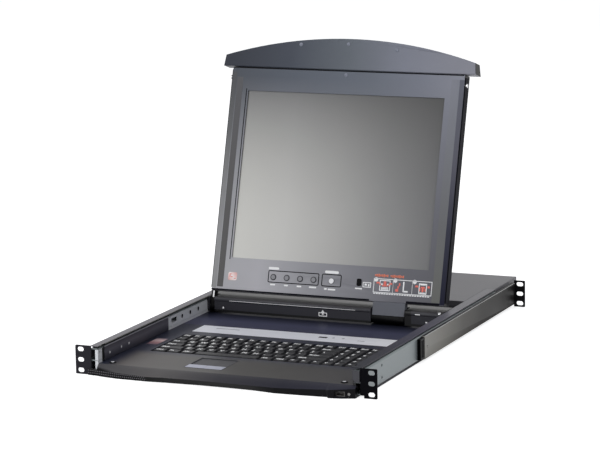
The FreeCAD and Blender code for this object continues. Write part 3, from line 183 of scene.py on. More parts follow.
def srgb(red, green, blue):
    """Linear colour of an 8-bit screen colour."""
    return [((c / 255 + 0.055) / 1.055) ** 2.4 if c > 10 else c / 3294.6 for c in (red, green, blue)] + [1.0]


def grain_group():
    """Grain: fine noise for bump, slow noise for tone and roughness."""
    group = bpy.data.node_groups.new("grain", "ShaderNodeTree")
    kinds = {"Color": "Color", "Stretch": "Vector", "Normal": "Vector"}
    for way, names in (("INPUT", "Color Tone Roughness Scale Bump Stretch"),
                       ("OUTPUT", "Color Roughness Normal")):
        for name in names.split():
            group.interface.new_socket(name, in_out=way, socket_type="NodeSocket" + kinds.get(name, "Float"))
    ins = add_node(group, "NodeGroupInput").outputs
    place = add_node(group, "TexCoord").outputs["Object"]
    drawn = add_node(group, "VectorMath", {"operation": "MULTIPLY"}, in_0=place, in_1=ins["Stretch"])
    fine = add_node(group, "TexNoise", Vector=drawn.outputs[0], Scale=ins["Scale"], Detail=3.0)
    slow = add_node(group, "TexNoise", Vector=drawn.outputs[0], Scale=9.0, Detail=4.0)
    swing = calculate(group, "SUBTRACT", slow.outputs["Fac"], 0.5)
    amount = calculate(group, "MULTIPLY", swing, ins["Tone"])
    gain = calculate(group, "MULTIPLY_ADD", amount, 2.0, 1.0)
    tone = add_node(group, "VectorMath", {"operation": "SCALE"}, in_0=ins["Color"], Scale=gain)
    rough = calculate(group, "ADD", ins["Roughness"], amount)
    bump = add_node(group, "Bump", Distance=0.2 * MM, Strength=ins["Bump"], Height=fine.outputs["Fac"])
    add_node(group, "NodeGroupOutput", Color=tone.outputs[0], Roughness=rough, Normal=bump.outputs[0])
    return group


GRAIN = grain_group()


def finish(name, color, roughness=0.5, tone=0.12, scale=900.0, bump=0.1, metal=0.0, coat=0.0, specular=0.3,
           stretch=(1, 1, 1)):
    """Principled material with the shared grain, in a screen colour or a paint that varies over the piece."""
    material = bpy.data.materials.new(name)
    material.use_nodes = True
    tree = material.node_tree
    shader = tree.nodes["Principled BSDF"]
    grain = add_node(tree, "Group", {"node_tree": GRAIN}, Tone=tone, Roughness=roughness,
                     Color=color(tree) if callable(color) else srgb(*color), Scale=scale, Bump=bump,
                     Stretch=stretch)
    for output, target in (("Color", "Base Color"), ("Roughness", "Roughness"), ("Normal", "Normal")):
        tree.links.new(grain.outputs[output], shader.inputs[target])
    for target, value in (("Metallic", metal), ("Coat Weight", coat), ("Coat Roughness", 0.12),
                          ("Specular IOR Level", specular)):
        shader.inputs[target].default_value = value
    return material


def dress(material, *names, bevel=0.0):
    """Gives CAD nodes a material, and edges rounded by a bevel where one is asked for."""
    for name in names:
        piece = frame["nodes"][name]
        piece.data.materials.clear()
        piece.data.materials.append(material)
        if bevel:
            weld = piece.modifiers.new("weld", "WELD")
            weld.merge_threshold = 1e-6
            flat = piece.modifiers.new("flat", "DECIMATE")
            flat.decimate_type = "DISSOLVE"
            flat.angle_limit = math.radians(1)
            edge = piece.modifiers.new("edge", "BEVEL")
            edge.width = bevel
            edge.segments = 2
            edge.limit_method = "ANGLE"
            edge.angle_limit = math.radians(35)
            edge.harden_normals = True


ear_black = finish("ear_black", (9, 9, 13), roughness=0.6, scale=1500, bump=0.3, specular=0.03)
# Painted light: the left ear's black coat is painted a lighter charcoal.
ear_black_painted_lit = finish("ear_black_painted_lit", (46, 45, 50), roughness=0.55, scale=1500, bump=0.3, specular=0.05)
dress(ear_black, "front_ear_right", bevel=0.3 * MM)
dress(ear_black_painted_lit, "front_ear_left", bevel=0.3 * MM)


# ---- Slides ----
# Roll-formed double-track slides of zinc-plated steel with faint rolling lines.
# The inner members have holes. Their plating is painted bright as a painted highlight,
# with painted shade in black in and around the holes and at their front ends.

SLIDE_LIP, SLIDE_SHADE_END = 13.5 * MM, 28 * MM
HOLE_START, HOLE_PITCH, HOLE_LEVEL, HOLE_SHADE_REACH = 288 * MM, 29.5 * MM, 8.7 * MM, 3.3 * MM


def axes_of(tree, source="Object"):
    """X, Y and Z sockets of the object's coordinates, or of its normal."""
    return add_node(tree, "SeparateXYZ", Vector=add_node(tree, "TexCoord").outputs[source]).outputs


def reach_of(tree, across, along):
    """Distance socket: the root of the two squares added up."""
    squares = [calculate(tree, "MULTIPLY", side, side) for side in (across, along)]
    return calculate(tree, "SQRT", calculate(tree, "ADD", *squares))


def mixed(tree, share, first, second):
    """Colour socket that passes from the first colour to the second."""
    return add_node(tree, "Mix", {"data_type": "RGBA"}, in_0=share, in_6=first, in_7=second).outputs[2]


def plating_with_painted_shade(tree):
    """Plating painted bright as a painted highlight, with painted shade in black in and around the holes, in
    a band behind the left front edge and over the whole right front end."""
    place = axes_of(tree)
    # Painted shade in black: a band behind the left front edge, the whole right front end, and round each
    # hole.
    left = calculate(tree, "COMPARE", place["Y"], (SLIDE_LIP + SLIDE_SHADE_END) / 2, (SLIDE_SHADE_END - SLIDE_LIP) / 2)
    right = calculate(tree, "MULTIPLY", calculate(tree, "LESS_THAN", place["Y"], SLIDE_SHADE_END),
                      calculate(tree, "GREATER_THAN", place["X"], 0.0))
    along = calculate(tree, "PINGPONG", calculate(tree, "SUBTRACT", place["Y"], HOLE_START), HOLE_PITCH / 2)
    level = calculate(tree, "SUBTRACT", calculate(tree, "ABSOLUTE", place["Z"]), HOLE_LEVEL)
    row = calculate(tree, "COMPARE", place["Y"], HOLE_START + HOLE_PITCH, HOLE_PITCH + HOLE_SHADE_REACH)
    hole = calculate(tree, "LESS_THAN", reach_of(tree, along, level), HOLE_SHADE_REACH)
    hole_shade = calculate(tree, "MULTIPLY", row, hole)
    return mixed(tree, largest(tree, left, right, hole_shade), srgb(214, 216, 220), srgb(10, 10, 13))


rolled = dict(scale=420, stretch=(1, 0.04, 1), specular=0.4)
zinc = finish("zinc_plate", (128, 135, 137), roughness=0.42, tone=0.3, bump=0.08, metal=0.35, **rolled)
# Inner members: plating painted bright as a painted highlight, with painted shade in black.
zinc_bright = finish("zinc_bright", plating_with_painted_shade, roughness=0.3, tone=0.2, bump=0.05, metal=0.2, **rolled)
dress(zinc, "slide_outer_left", "slide_outer_right", "keyboard_slide_middles",
      "display_slide_middles", bevel=0.25 * MM)
dress(zinc_bright, "keyboard_slide_inners", "display_slide_inner_left", "display_slide_inner_right",
      bevel=0.25 * MM)


# ---- Rear brackets ----
# Telescopic steel channels in grey-black paint that slide back to the rear posts,
# with a painted sheen that fades towards the rear, painted shade on their top faces and a
# painted highlight along the rolled upper corner. Moulded guide blocks hold them on the slides.

low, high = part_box("rear_bracket_right")
BRACKET_START, BRACKET_END, EAR_START = low.y, high.y, high.y - 3 * MM
# Levels of the normal for the painted shade on top faces and the painted highlight on the corner.
TOP_FACE_SHADE, CORNER_GLINT, CORNER_GLINT_SPREAD = 0.8, 0.55, 0.25  # upward part of a face's normal


def share_between(tree, start, end):
    """Socket that grows from 0 at one point of the object to 1 at another."""
    line = Vector(end) - Vector(start)
    place = add_node(tree, "TexCoord").outputs["Object"]
    along = add_node(tree, "VectorMath", {"operation": "DOT_PRODUCT"}, in_0=place,
                     in_1=line / line.length_squared).outputs["Value"]
    return calculate(tree, "SUBTRACT", along, Vector(start).dot(line) / line.length_squared)


def ramped(tree, share, levels, stops):
    """Colour socket that runs through screen colours, each reached at its own level of a share."""
    ramp = add_node(tree, "ValToRGB", Fac=share)
    elements = ramp.color_ramp.elements
    elements[0].position, elements[0].color = levels[0], srgb(*stops[0])
    elements[1].position, elements[1].color = levels[-1], srgb(*stops[-1])
    for level, stop in zip(levels[1:-1], stops[1:-1]):
        elements.new(level).color = srgb(*stop)
    return ramp.outputs["Color"]


def faded(start, end, *stops):
    """Paint whose screen colour runs through evenly spaced stops between two points of the object."""
    def paint(tree):
        levels = [i / (len(stops) - 1) for i in range(len(stops))]
        return ramped(tree, share_between(tree, start, end), levels, stops)
    return paint


def channel_paint_and_light(tree):
    """Warm grey painted sheen that deepens towards the rear, a painted highlight on the rolled upper corner,
    painted shade on the top face, and a black ear.
    """
    facing = axes_of(tree, "Normal")["Z"]
    # Painted sheen on the web, fading towards the rear.
    web_sheen = faded((0, BRACKET_START, 0), (0, BRACKET_END, 0), (152, 150, 144), (124, 122, 116), (82, 80, 76),
                (44, 42, 40), (34, 32, 31), (22, 21, 22))(tree)
    # Painted highlight on the rolled corner, then painted shade on the flat top face.
    side = mixed(tree, calculate(tree, "COMPARE", facing, CORNER_GLINT, CORNER_GLINT_SPREAD), web_sheen, srgb(206, 206, 204))
    body = mixed(tree, calculate(tree, "GREATER_THAN", facing, TOP_FACE_SHADE), side, srgb(40, 39, 41))
    return mixed(tree, calculate(tree, "GREATER_THAN", axes_of(tree)["Y"], EAR_START), body, srgb(9, 9, 12))


bracket_paint = finish("bracket_paint", channel_paint_and_light, roughness=0.42, tone=0.2, scale=1300, specular=0.1)
guide_plastic = finish("guide_plastic", (4, 4, 5), roughness=0.35, scale=1200, bump=0.2, specular=0.05)
dress(bracket_paint, "rear_bracket_left", "rear_bracket_right", bevel=0.2 * MM)
dress(guide_plastic, "bracket_guides", bevel=0.4 * MM)


# ---- Housing ----
# The fixed steel case: floor pan with its legs, folded top strips over the slides
# and the lid of the rear box, in satin grey paint, with a painted shadow line in black along
# the left strip's edge and painted shade darkening the right strip towards its front.

# Edge of the painted shadow line on the left strip, and where the right strip's painted shade ends.
STRIP_SHADOW_EDGE, STRIP_END = -204.4 * MM, 580 * MM


def shadow_line_paint(tree):
    """Satin grey with a painted shadow line in black along the edge over the side cover."""
    return mixed(tree, calculate(tree, "GREATER_THAN", axes_of(tree)["X"], STRIP_SHADOW_EDGE), srgb(118, 116, 121),
                 srgb(3, 3, 5))


satin = dict(roughness=0.45, tone=0.15, scale=1300, bump=0.2, specular=0.2)
case_grey = finish("case_grey", (104, 103, 107), **satin)
# Painted shade: the right strip darkens towards its front end.
front_shade_fade = faded((0, 0, 0), (0, STRIP_END, 0), (20, 22, 32), (36, 37, 48), (62, 61, 76), (92, 91, 100),
                  (112, 111, 116), (114, 113, 117))
strip_right_shaded = finish("strip_right_shaded", front_shade_fade, **satin)
strip_left = finish("strip_left", shadow_line_paint, **satin)
dress(case_grey, "rear_cover", "bottom_pan", "rear_panel", bevel=0.3 * MM)
dress(strip_right_shaded, "top_flange_right", bevel=0.3 * MM)
dress(strip_left, "top_flange_left", bevel=0.3 * MM)


# ---- Rear equipment ----
# What the rear wall carries: a moulded jack block with gilded contacts, console
# sockets, mains inlet, rocker switch and fan, with the supply and board inside.

RIGHT, LEFT, BACK, FRONT, UP, DOWN = (1, 0, 0), (-1, 0, 0), (0, 1, 0), (0, -1, 0), (0, 0, 1), (0, 0, -1)
JACKS, JACK_CONTACTS = 8, 8
CONTACT_WIDTH, CONTACT_LENGTH, CONTACT_THICK, CONTACT_PITCH = 0.5 * MM, 8.0 * MM, 0.3 * MM, 1.0 * MM
CONTACT_CORNER, CONTACT_DEPTH, CONTACT_RISE = 0.1 * MM, 8 * MM, 3.8 * MM
HOLE_COLUMNS, HOLE_ROWS = 5, 3
COLUMN_PITCH, ROW_PITCH, SOCKET_INSET = 2.3 * MM, 2.0 * MM, 15.5 * MM
HOLE_SIZE, HOLE_THICK = 0.9 * MM, 0.06 * MM


def rounded_loop(width, height, radius, inset=0.0, steps=6):
    """Closed rounded rectangle drawn in by an inset: a quarter circle about each corner's own centre."""
    quarter = np.arange(4).repeat(steps)
    angle = (quarter + np.tile(np.linspace(0, 1, steps), 4)) * math.pi / 2
    side_a, side_b = np.array([1, -1, -1, 1])[quarter], np.array([1, 1, -1, -1])[quarter]
    keep, curl = max(radius, inset), max(radius - inset, 0.0)
    return np.stack([side_a * (width / 2 - keep) + curl * np.cos(angle),
                     side_b * (height / 2 - keep) + curl * np.sin(angle)], -1)


def slab(loop, thick):
    """Thin slab inside a convex outline, which shrinks to a pole on top and on the underside."""
    middle = loop.mean(0)
    share, lift = np.array([0.0, 1.0, 1.0, 0.0]), np.array([thick, thick, 0.0, 0.0])
    flat = middle + share[:, None, None] * (loop - middle)
    return np.concatenate([flat, np.broadcast_to(lift[:, None, None], flat.shape[:2] + (1,))], -1)


def plate(width, height, radius, thick):
    """Thin rounded plate about its own middle: a slab inside a rounded rectangle."""
    return slab(rounded_loop(width, height, radius), thick)


def set_on(form, origin, across, up, out):
    """Form drawn in (across, up, out) distances, placed from an origin along three directions."""
    return np.array(origin, float) + form @ np.array([across, up, out], float)


def add_piece(name, body, material, points, faces):
    """Piece of points and faces with its doubles merged and its faces turned outwards, riding on a body."""
    mesh = bpy.data.meshes.new(name)
    mesh.from_pydata(np.concatenate(points).tolist(), [], faces)
    clean = bmesh.new()
    clean.from_mesh(mesh)
    bmesh.ops.remove_doubles(clean, verts=clean.verts, dist=1e-7)
    bmesh.ops.recalc_face_normals(clean, faces=clean.faces)
    clean.to_mesh(mesh)
    clean.free()
    mesh.materials.append(material)
    piece = bpy.data.objects.new(name, mesh)
    bpy.context.scene.collection.objects.link(piece)
    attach(piece, body)


def shell(name, body, material, forms, looped=False):
    """Piece of point grids: quads between rows, closed round each row, and last to first if looped."""
    points, faces, base = [], [], 0
    for form in forms:
        rows, count = form.shape[:2]
        i, j = np.meshgrid(np.arange(rows if looped else rows - 1), np.arange(count), indexing="ij")
        k, l = (i + 1) % rows, (j + 1) % count
        corners = np.stack([i * count + j, k * count + j, k * count + l, i * count + l], -1)
        faces.append(base + corners.reshape(-1, 4))
        points.append(form.reshape(-1, 3))
        base += rows * count
    add_piece(name, body, material, points, np.concatenate(faces).tolist())


socket_black = finish("socket_black", (24, 24, 26), roughness=0.45, scale=1200, bump=0.15)
nickel = finish("nickel", (176, 176, 178), roughness=0.3, tone=0.2, metal=0.85)
board_green = finish("board_green", (20, 66, 42), roughness=0.4, tone=0.3, scale=300)
gilt = finish("gilt", (206, 170, 92), roughness=0.25, metal=0.9)
dress(socket_black, "network_jacks", "power_inlet", "power_switch_frame", "power_switch_rocker", "fan_frame",
      "fan_rotor", bevel=0.2 * MM)
dress(nickel, "console_ports", "power_supply")
dress(board_green, "main_board")

low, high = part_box("network_jacks")
jack_places = low.x + (high.x - low.x) / JACKS * (np.arange(JACKS) + 0.5)
contact_row = CONTACT_PITCH * (np.arange(JACK_CONTACTS) - (JACK_CONTACTS - 1) / 2)
contact = plate(CONTACT_WIDTH, CONTACT_LENGTH, CONTACT_CORNER, CONTACT_THICK)
contact_z = (low.z + high.z) / 2 + CONTACT_RISE
shell("jack_contacts", "housing", gilt,
      [set_on(contact, (x, high.y - CONTACT_DEPTH, contact_z), RIGHT, BACK, DOWN)
       for x in (jack_places[:, None] + contact_row).ravel()])

low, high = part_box("console_ports")
column, row = np.meshgrid(np.arange(HOLE_COLUMNS) - (HOLE_COLUMNS - 1) / 2,
                          np.arange(HOLE_ROWS) - (HOLE_ROWS - 1) / 2)
column += 0.5 * (row == 0) * (column < column.max())
hole = plate(HOLE_SIZE, HOLE_SIZE, HOLE_SIZE / 2, HOLE_THICK)
shell("vga_holes", "housing", socket_black,
      [set_on(hole, (high.x - SOCKET_INSET + x * COLUMN_PITCH, high.y, z * ROW_PITCH), LEFT, UP, BACK)
       for x, z in zip(column.ravel(), row.ravel())])


# ---- Side covers ----
# Black covers on the inner slides that hide the running gear beside the keyboard.
# Each is held by three pan-head screws of bright steel, seated on its wall. The left one
# carries a painted sheen band and a painted highlight along its upper edge.

COVER_SCREW_Y, COVER_SCREW_Z = (35 * MM, 73 * MM, 98 * MM), 6 * MM
SCREW_RADIUS, SCREW_HEIGHT, SCREW_SLOT, SEAT_DEPTH = 2.0 * MM, 1.0 * MM, 0.8 * MM, 0.8 * MM
COVER_FOOT, COVER_SHEEN_TOP, COVER_HIGHLIGHT_EDGE = -3 * MM, 16 * MM, 17 * MM


def screw_head(radius, height, slot_width, steps=24):
    """Pan head: its height falls as a quarter ellipse over the radius, less a cross-shaped recess."""
    share = np.array([0.0, 0.12, 0.24, 0.36, 0.5, 0.52, 0.75, 0.92, 1.0, 1.0, 0.0])
    angle = np.arange(steps) / steps * 2 * math.pi
    s, a = np.meshgrid(share, angle, indexing="ij")
    x, y = s * radius * np.cos(a), s * radius * np.sin(a)
    lift = height * (0.55 + 0.45 * np.sqrt(np.clip(1 - s * s, 0, 1)))
    crossed = (np.minimum(abs(x), abs(y)) < slot_width / 2) & (s < 0.51)
    lift -= np.where(crossed, 0.45 * height, 0.0)
    lift[-2:] = 0.0
    return np.stack([x, y, lift], -1)


def cover_paint_and_sheen(tree):
    """Black with a soft lighter band as a painted sheen, a pale upper edge as a painted highlight, and bright
    steel over the screws' seats.
    """
    place = axes_of(tree)
    rise = calculate(tree, "SUBTRACT", place["Z"], COVER_SCREW_Z)
    seats = [calculate(tree, "LESS_THAN", reach_of(tree, calculate(tree, "SUBTRACT", place["Y"], y), rise),
                       SCREW_RADIUS) for y in COVER_SCREW_Y]
    # Painted sheen: a lighter band up the wall.
    wall = faded((0, 0, COVER_FOOT), (0, 0, COVER_SHEEN_TOP), (40, 40, 49), (66, 65, 74), (88, 86, 95),
                 (66, 65, 72))(tree)
    # Painted highlight along the upper edge.
    edge_highlighted = mixed(tree, calculate(tree, "GREATER_THAN", place["Z"], COVER_HIGHLIGHT_EDGE), wall, srgb(138, 137, 144))
    return mixed(tree, largest(tree, *seats), edge_highlighted, srgb(226, 226, 228))


cover_black = finish("cover_black", cover_paint_and_sheen, roughness=0.38, tone=0.35, scale=1300, bump=0.15,
                     specular=0.2, stretch=(1, 0.3, 3))
tab_grey = finish("tab_grey", (62, 62, 67), tone=0.15, scale=1300, bump=0.15)
bright_steel = finish("bright_steel", (214, 214, 216), roughness=0.2, tone=0.1, metal=0.6, specular=0.6)
dress(cover_black, "side_cover_left", bevel=0.3 * MM)
dress(tab_grey, "side_cover_right", bevel=0.3 * MM)
head = screw_head(SCREW_RADIUS, SCREW_HEIGHT, SCREW_SLOT)
for side, inner in (("left", 1), ("right", -1)):
    low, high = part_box("side_cover_" + side)
    face_x = (high.x if side == "left" else low.x) - inner * SEAT_DEPTH
    shell("cover_screws_" + side, "display_carriage", bright_steel,
          [set_on(head, (face_x, y, COVER_SCREW_Z), (0, inner, 0), UP, (inner, 0, 0)) for y in COVER_SCREW_Y])


# ---- Keyboard drawer ----
# The lower drawer: a folded pan with a satin palm rest painted lighter at the left as
# painted light, a glossy plate behind the keys painted black towards the rear as painted
# shade, and a moulded front lip with two rows of small vents at its left end.

HALF_WIDTH = 200 * MM
KEYS_START, KEYS_MERGE, WALL_START, WALL_MERGE = 75 * MM, 105 * MM, -166 * MM, -196 * MM
DECK_SHADE_START, DECK_SHADE_END = 300 * MM, 390 * MM
VENT_PITCH, VENT_ROWS, VENT_SIZE, VENT_RIGHT = 3.4 * MM, (-14.6 * MM, -18.2 * MM), 1.0 * MM, -118 * MM
LIP_TURN, LIP_FLAT, LIP_BLACK = 0.25, 0.6, (0.006, 0.006, 0.007, 1)


def smooth_step(tree, value, start, end):
    """Socket that rises smoothly from 0 where a value passes its start to 1 at its end."""
    return add_node(tree, "MapRange", {"interpolation_type": "SMOOTHSTEP"}, Value=value,
                    From_Min=start, From_Max=end).outputs[0]


def across(half, *stops):
    """Paint whose screen colour runs through stops from the left to the right."""
    return faded((-half, 0, 0), (half, 0, 0), *stops)


def repeated(tree, value, pitch):
    """Distance from the middle of each step of a pitch along a value."""
    phase = calculate(tree, "FRACT", calculate(tree, "DIVIDE", value, pitch))
    return calculate(tree, "MULTIPLY", calculate(tree, "SUBTRACT", phase, 0.5), pitch)


def palm_paint(tree):
    """Warm grey across the palm rest, painted lighter at the left and darker towards the right as painted
    light, deep navy beside the keys and along the left wall.
    """
    place = axes_of(tree)
    # Painted light: the rest is lighter at the left and darker to the right.
    rest = faded((-HALF_WIDTH, 0, 0), (HALF_WIDTH, 50 * MM, 0), (84, 79, 78), (52, 50, 48), (38, 36, 34),
                 (46, 44, 46))(tree)
    behind = smooth_step(tree, place["Y"], KEYS_START, KEYS_MERGE)
    beside = smooth_step(tree, place["X"], WALL_START, WALL_MERGE)
    return mixed(tree, largest(tree, behind, beside), rest, srgb(26, 29, 46))


def lip_paint(tree):
    """Palm colour where the lip faces up, painted lighter at the left and middle as a painted sheen, and
    black where it faces forward, with two rows of pale vents.
    """
    place = axes_of(tree)
    # Painted sheen: the lip's top is lighter at the left and middle.
    top = across(HALF_WIDTH, (78, 77, 80), (98, 96, 96), (62, 61, 66), (46, 46, 55), (50, 50, 60))(tree)
    side = mixed(tree, smooth_step(tree, axes_of(tree, "Normal")["Z"], LIP_TURN, LIP_FLAT), LIP_BLACK, top)
    along = repeated(tree, place["X"], VENT_PITCH)
    rises = [calculate(tree, "SUBTRACT", place["Z"], level) for level in VENT_ROWS]
    rows = [calculate(tree, "LESS_THAN", reach_of(tree, along, rise), VENT_SIZE) for rise in rises]
    at_left = calculate(tree, "LESS_THAN", place["X"], VENT_RIGHT)
    vent = calculate(tree, "MULTIPLY", largest(tree, *rows), at_left)
    return mixed(tree, vent, side, srgb(104, 102, 106))


pan_black = finish("pan_black", (24, 24, 27), scale=1400, bump=0.2)
palm_satin = finish("palm_satin", palm_paint, roughness=0.4, tone=0.1, scale=1600, bump=0.12, specular=0.25)
# Painted shade: the glossy deck darkens to black under and behind the hinge base.
gloss_navy_shaded = finish("gloss_navy_shaded", faded((0, DECK_SHADE_START, 0), (0, DECK_SHADE_END, 0), (70, 71, 91), (74, 76, 98),
                                        (44, 46, 62), (2, 2, 3)), roughness=0.3, tone=0.08, bump=0.02,
                    specular=0.04)
lip_satin = finish("lip_satin", lip_paint, roughness=0.45, tone=0.1, scale=1600, specular=0.06)
dress(pan_black, "tray_pan")
dress(palm_satin, "key_deck")
dress(gloss_navy_shaded, "rear_deck")
dress(lip_satin, "front_lip")


# ---- Front ports ----
# At the right end of the lip: a USB socket with a plain tongue, and a round reset
# button, with no lettering.

TONGUE, TONGUE_LENGTH, TONGUE_DEPTH = (0, 1.2, 11.2, 1.6, 0.3), 7.5 * MM, 8.4 * MM


def plates(rows, thick, place=(0, 0, 0), across=RIGHT, up=BACK, out=UP):
    """Rounded plates: each row is (across, up, width, height, corner) in millimetres from a place."""
    return [set_on(plate(w * MM, h * MM, c * MM, thick),
                   np.array(place) + np.array(across) * x * MM + np.array(up) * v * MM, across, up, out)
            for x, v, w, h, c in rows]


port_black = finish("port_black", (30, 29, 28), roughness=0.4, tone=0.2)
port_metal = finish("port_metal", (92, 90, 88), roughness=0.35, tone=0.2, metal=0.5)
button_grey = finish("button_grey", (140, 138, 136), roughness=0.4, tone=0.2)
dress(port_metal, "front_usb_socket")
dress(button_grey, "reset_button", bevel=0.3 * MM)
low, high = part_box("front_usb_socket")
shell("usb_tongue", "keyboard_drawer", port_black,
      plates([TONGUE], TONGUE_LENGTH, ((low.x + high.x) / 2, low.y + TONGUE_DEPTH, (low.z + high.z) / 2),
             RIGHT, UP, FRONT))


# ---- Rubber bumpers ----
# Two round bumpers on the palm rest that the folded display lands on: black rubber
# with a near-white painted glint, in a raised black ring of painted shadow.

GLINT_REACH, SHADOW_RING_OFFSET, SHADOW_RING_WIDTH, SHADOW_RING_HEIGHT = 2.6 * MM, 1.5 * MM, 1.4 * MM, 0.5 * MM
low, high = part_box("rubber_bumpers")
bumper_size, bumper_y = high.y - low.y, (low.y + high.y) / 2
bumper_x = high.x - bumper_size / 2


def border(width, height, radius, line, thick):
    """Rounded frame: outer loop and inner loop, each at the foot and at the top."""
    rows = [(0.0, 0.0), (0.0, thick), (line, thick), (line, 0.0)]
    loops = [rounded_loop(width, height, radius, inset) for inset, _ in rows]
    return np.stack([np.column_stack([loop, np.full(len(loop), lift)])
                     for loop, (_, lift) in zip(loops, rows)])


def bumper_glint_paint(tree):
    """Painted glint: near-white within a reach of each bumper's axis, black rubber outside it."""
    place = axes_of(tree)
    reach = reach_of(tree, calculate(tree, "SUBTRACT", calculate(tree, "ABSOLUTE", place["X"]), bumper_x),
                     calculate(tree, "SUBTRACT", place["Y"], bumper_y))
    return mixed(tree, calculate(tree, "GREATER_THAN", reach, GLINT_REACH), srgb(240, 240, 244),
                 srgb(12, 12, 15))


# Black rubber with a painted glint, and a black ring of painted shadow around each bumper.
bumper_rubber_glint = finish("bumper_rubber_glint", bumper_glint_paint, specular=0.1)
shadow_ring_black = finish("shadow_ring_black", (3, 3, 4), roughness=0.6, specular=0.1)
dress(bumper_rubber_glint, "rubber_bumpers", bevel=0.3 * MM)
shadow_ring_size = bumper_size + 2 * SHADOW_RING_OFFSET
shadow_ring = border(shadow_ring_size, shadow_ring_size, shadow_ring_size / 2, SHADOW_RING_WIDTH, SHADOW_RING_HEIGHT)
shell("bumper_shadow_rings", "keyboard_drawer", shadow_ring_black,
      [set_on(shadow_ring, (x, bumper_y, low.z), RIGHT, BACK, UP) for x in (low.x + bumper_size / 2, bumper_x)],
      looped=True)


# ---- Keys ----
# Six rows of tapered caps in matt black plastic, printed white. The frame under
# them is black too. A legend is its cap's width in units and its word.

KEY_GAP, KEY_MARGIN, LEGEND_DROP, PRINT_LIFT = 2.4 * MM, 2.6 * MM, 1.5 * MM, 0.02 * MM
LETTER_SIZE, WORD_SIZE, PRINT_BOLD, PRINT_THICK = 9.5 * MM, 7.2 * MM, 0.4 * MM, 0.04 * MM
KEY_LEGENDS = [
    [(1, w) for w in "Esc F1 F2 F3 F4 F5 F6 F7 F8 F9 F10 F11 F12 Ins Del Hm End Pg".split()],
    [(1, w) for w in "` 1 2 3 4 5 6 7 8 9 0 - =".split()] + [(2, "Back")] + [(1, w) for w in "789"],
    [(1.5, "Tab")] + [(1, w) for w in "QWERTYUIOP[]"] + [(1.5, "\\")] + [(1, w) for w in "456"],
    [(1.75, "Caps")] + [(1, w) for w in "ASDFGHJKL;'"] + [(2.25, "Enter")] + [(1, w) for w in "123"],
    [(2.25, "Shift")] + [(1, w) for w in "ZXCVBNM,./"] + [(2.75, "Shift")] + [(1, w) for w in "0.+"],
    [(1.25, w) for w in ("Ctrl", "Fn", "Alt")] + [(5.75, "")] + [(1.25, "Alt"), (1.25, "Ctrl")]
    + [(1, w) for w in ("<", ">", "^", "v", "/", "*")],
]


def lettering(name, body, material, words):
    """Printed marks as one flat mesh: each is (text, size, origin), from its lower left corner."""
    points, faces, base = [], [], 0
    for text, size, origin in words:
        curve = bpy.data.curves.new("word", "FONT")
        curve.body, curve.size, curve.offset = text, size, PRINT_BOLD
        curve.resolution_u, curve.extrude = 1, PRINT_THICK / 2
        holder = bpy.data.objects.new("word", curve)
        mesh = bpy.data.meshes.new_from_object(holder)
        flat = np.empty(len(mesh.vertices) * 3)
        mesh.vertices.foreach_get("co", flat)
        points.append(set_on(flat.reshape(-1, 3), origin, RIGHT, BACK, UP))
        faces += [[base + i for i in polygon.vertices] for polygon in mesh.polygons]
        base += len(mesh.vertices)
        bpy.data.objects.remove(holder)
        bpy.data.curves.remove(curve)
        bpy.data.meshes.remove(mesh)
    add_piece(name, body, material, points, faces)


key_black = finish("key_black", (30, 30, 34), roughness=0.42, tone=0.15, scale=1700, bump=0.2,
                   specular=0.2)
white_print = finish("white_print", (250, 250, 250), tone=0.05)
dress(pan_black, "key_base")
for number, legends in enumerate(KEY_LEGENDS, 1):
    dress(key_black, "key_row_%d" % number, bevel=0.35 * MM)
    low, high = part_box("key_row_%d" % number)
    unit = (high.x - low.x + KEY_GAP) / sum(width for width, _ in legends)
    words, x = [], low.x
    for width, text in legends:
        if text:
            words.append((text, LETTER_SIZE if len(text) == 1 else WORD_SIZE,
                          (x + KEY_MARGIN, (low.y + high.y) / 2 - LEGEND_DROP, high.z + PRINT_LIFT)))
        x += width * unit
    lettering("key_legends_%d" % number, "keys_%d" % number, white_print, words)


# ---- Status strip ----
# A pale strip behind the keys with a dark window for the lights and a few faint
# generic marks. A plain patch sits on the deck at its left.

STRIP_HALF = 170 * MM
WINDOW, WINDOW_THICK = (45, 25.8, 13.6, 7.6, 0.5), 0.2 * MM  # rows for plates, from the strip's front edge
STRIP_MARKS = [(-118, 30, 40, 3.6, 0.8), (62, 27, 4, 5, 0.8), (78, 27, 4, 5, 0.8), (110, 20, 12, 3, 0.8)]
MARK_THICK, PATCH, PATCH_THICK = 0.05 * MM, (-186, 162, 18, 42, 1), 0.15 * MM
strip_pale = finish("strip_pale", across(STRIP_HALF, (238, 239, 246), (240, 241, 248), (248, 248, 252)),
                    roughness=0.4, tone=0.1, scale=1300, bump=0.08)
window_black = finish("window_black", (16, 16, 18), roughness=0.15, tone=0.05, coat=0.5)
mark_grey = finish("mark_grey", (176, 177, 184))
patch_pink = finish("patch_pink", faded((0, 140 * MM, 0), (0, 184 * MM, 0), (70, 62, 78), (150, 110, 114),
                                        (206, 178, 178), (96, 84, 98)), roughness=0.6, tone=0.5, scale=300)
dress(strip_pale, "status_strip")
low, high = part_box("status_strip")
shell("strip_window", "keyboard_drawer", window_black,
      plates([WINDOW], WINDOW_THICK, (0, low.y, high.z - WINDOW_THICK)))
shell("strip_marks", "keyboard_drawer", mark_grey,
      plates(STRIP_MARKS, MARK_THICK, (0, low.y, high.z)))
shell("deck_patch", "keyboard_drawer", patch_pink,
      plates([PATCH], PATCH_THICK, (0, 0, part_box("key_deck")[1].z)))


# ---- Touch pad ----
# A sunk sensing face in a raised rim, with two silver button bars that click down
# in front of it.

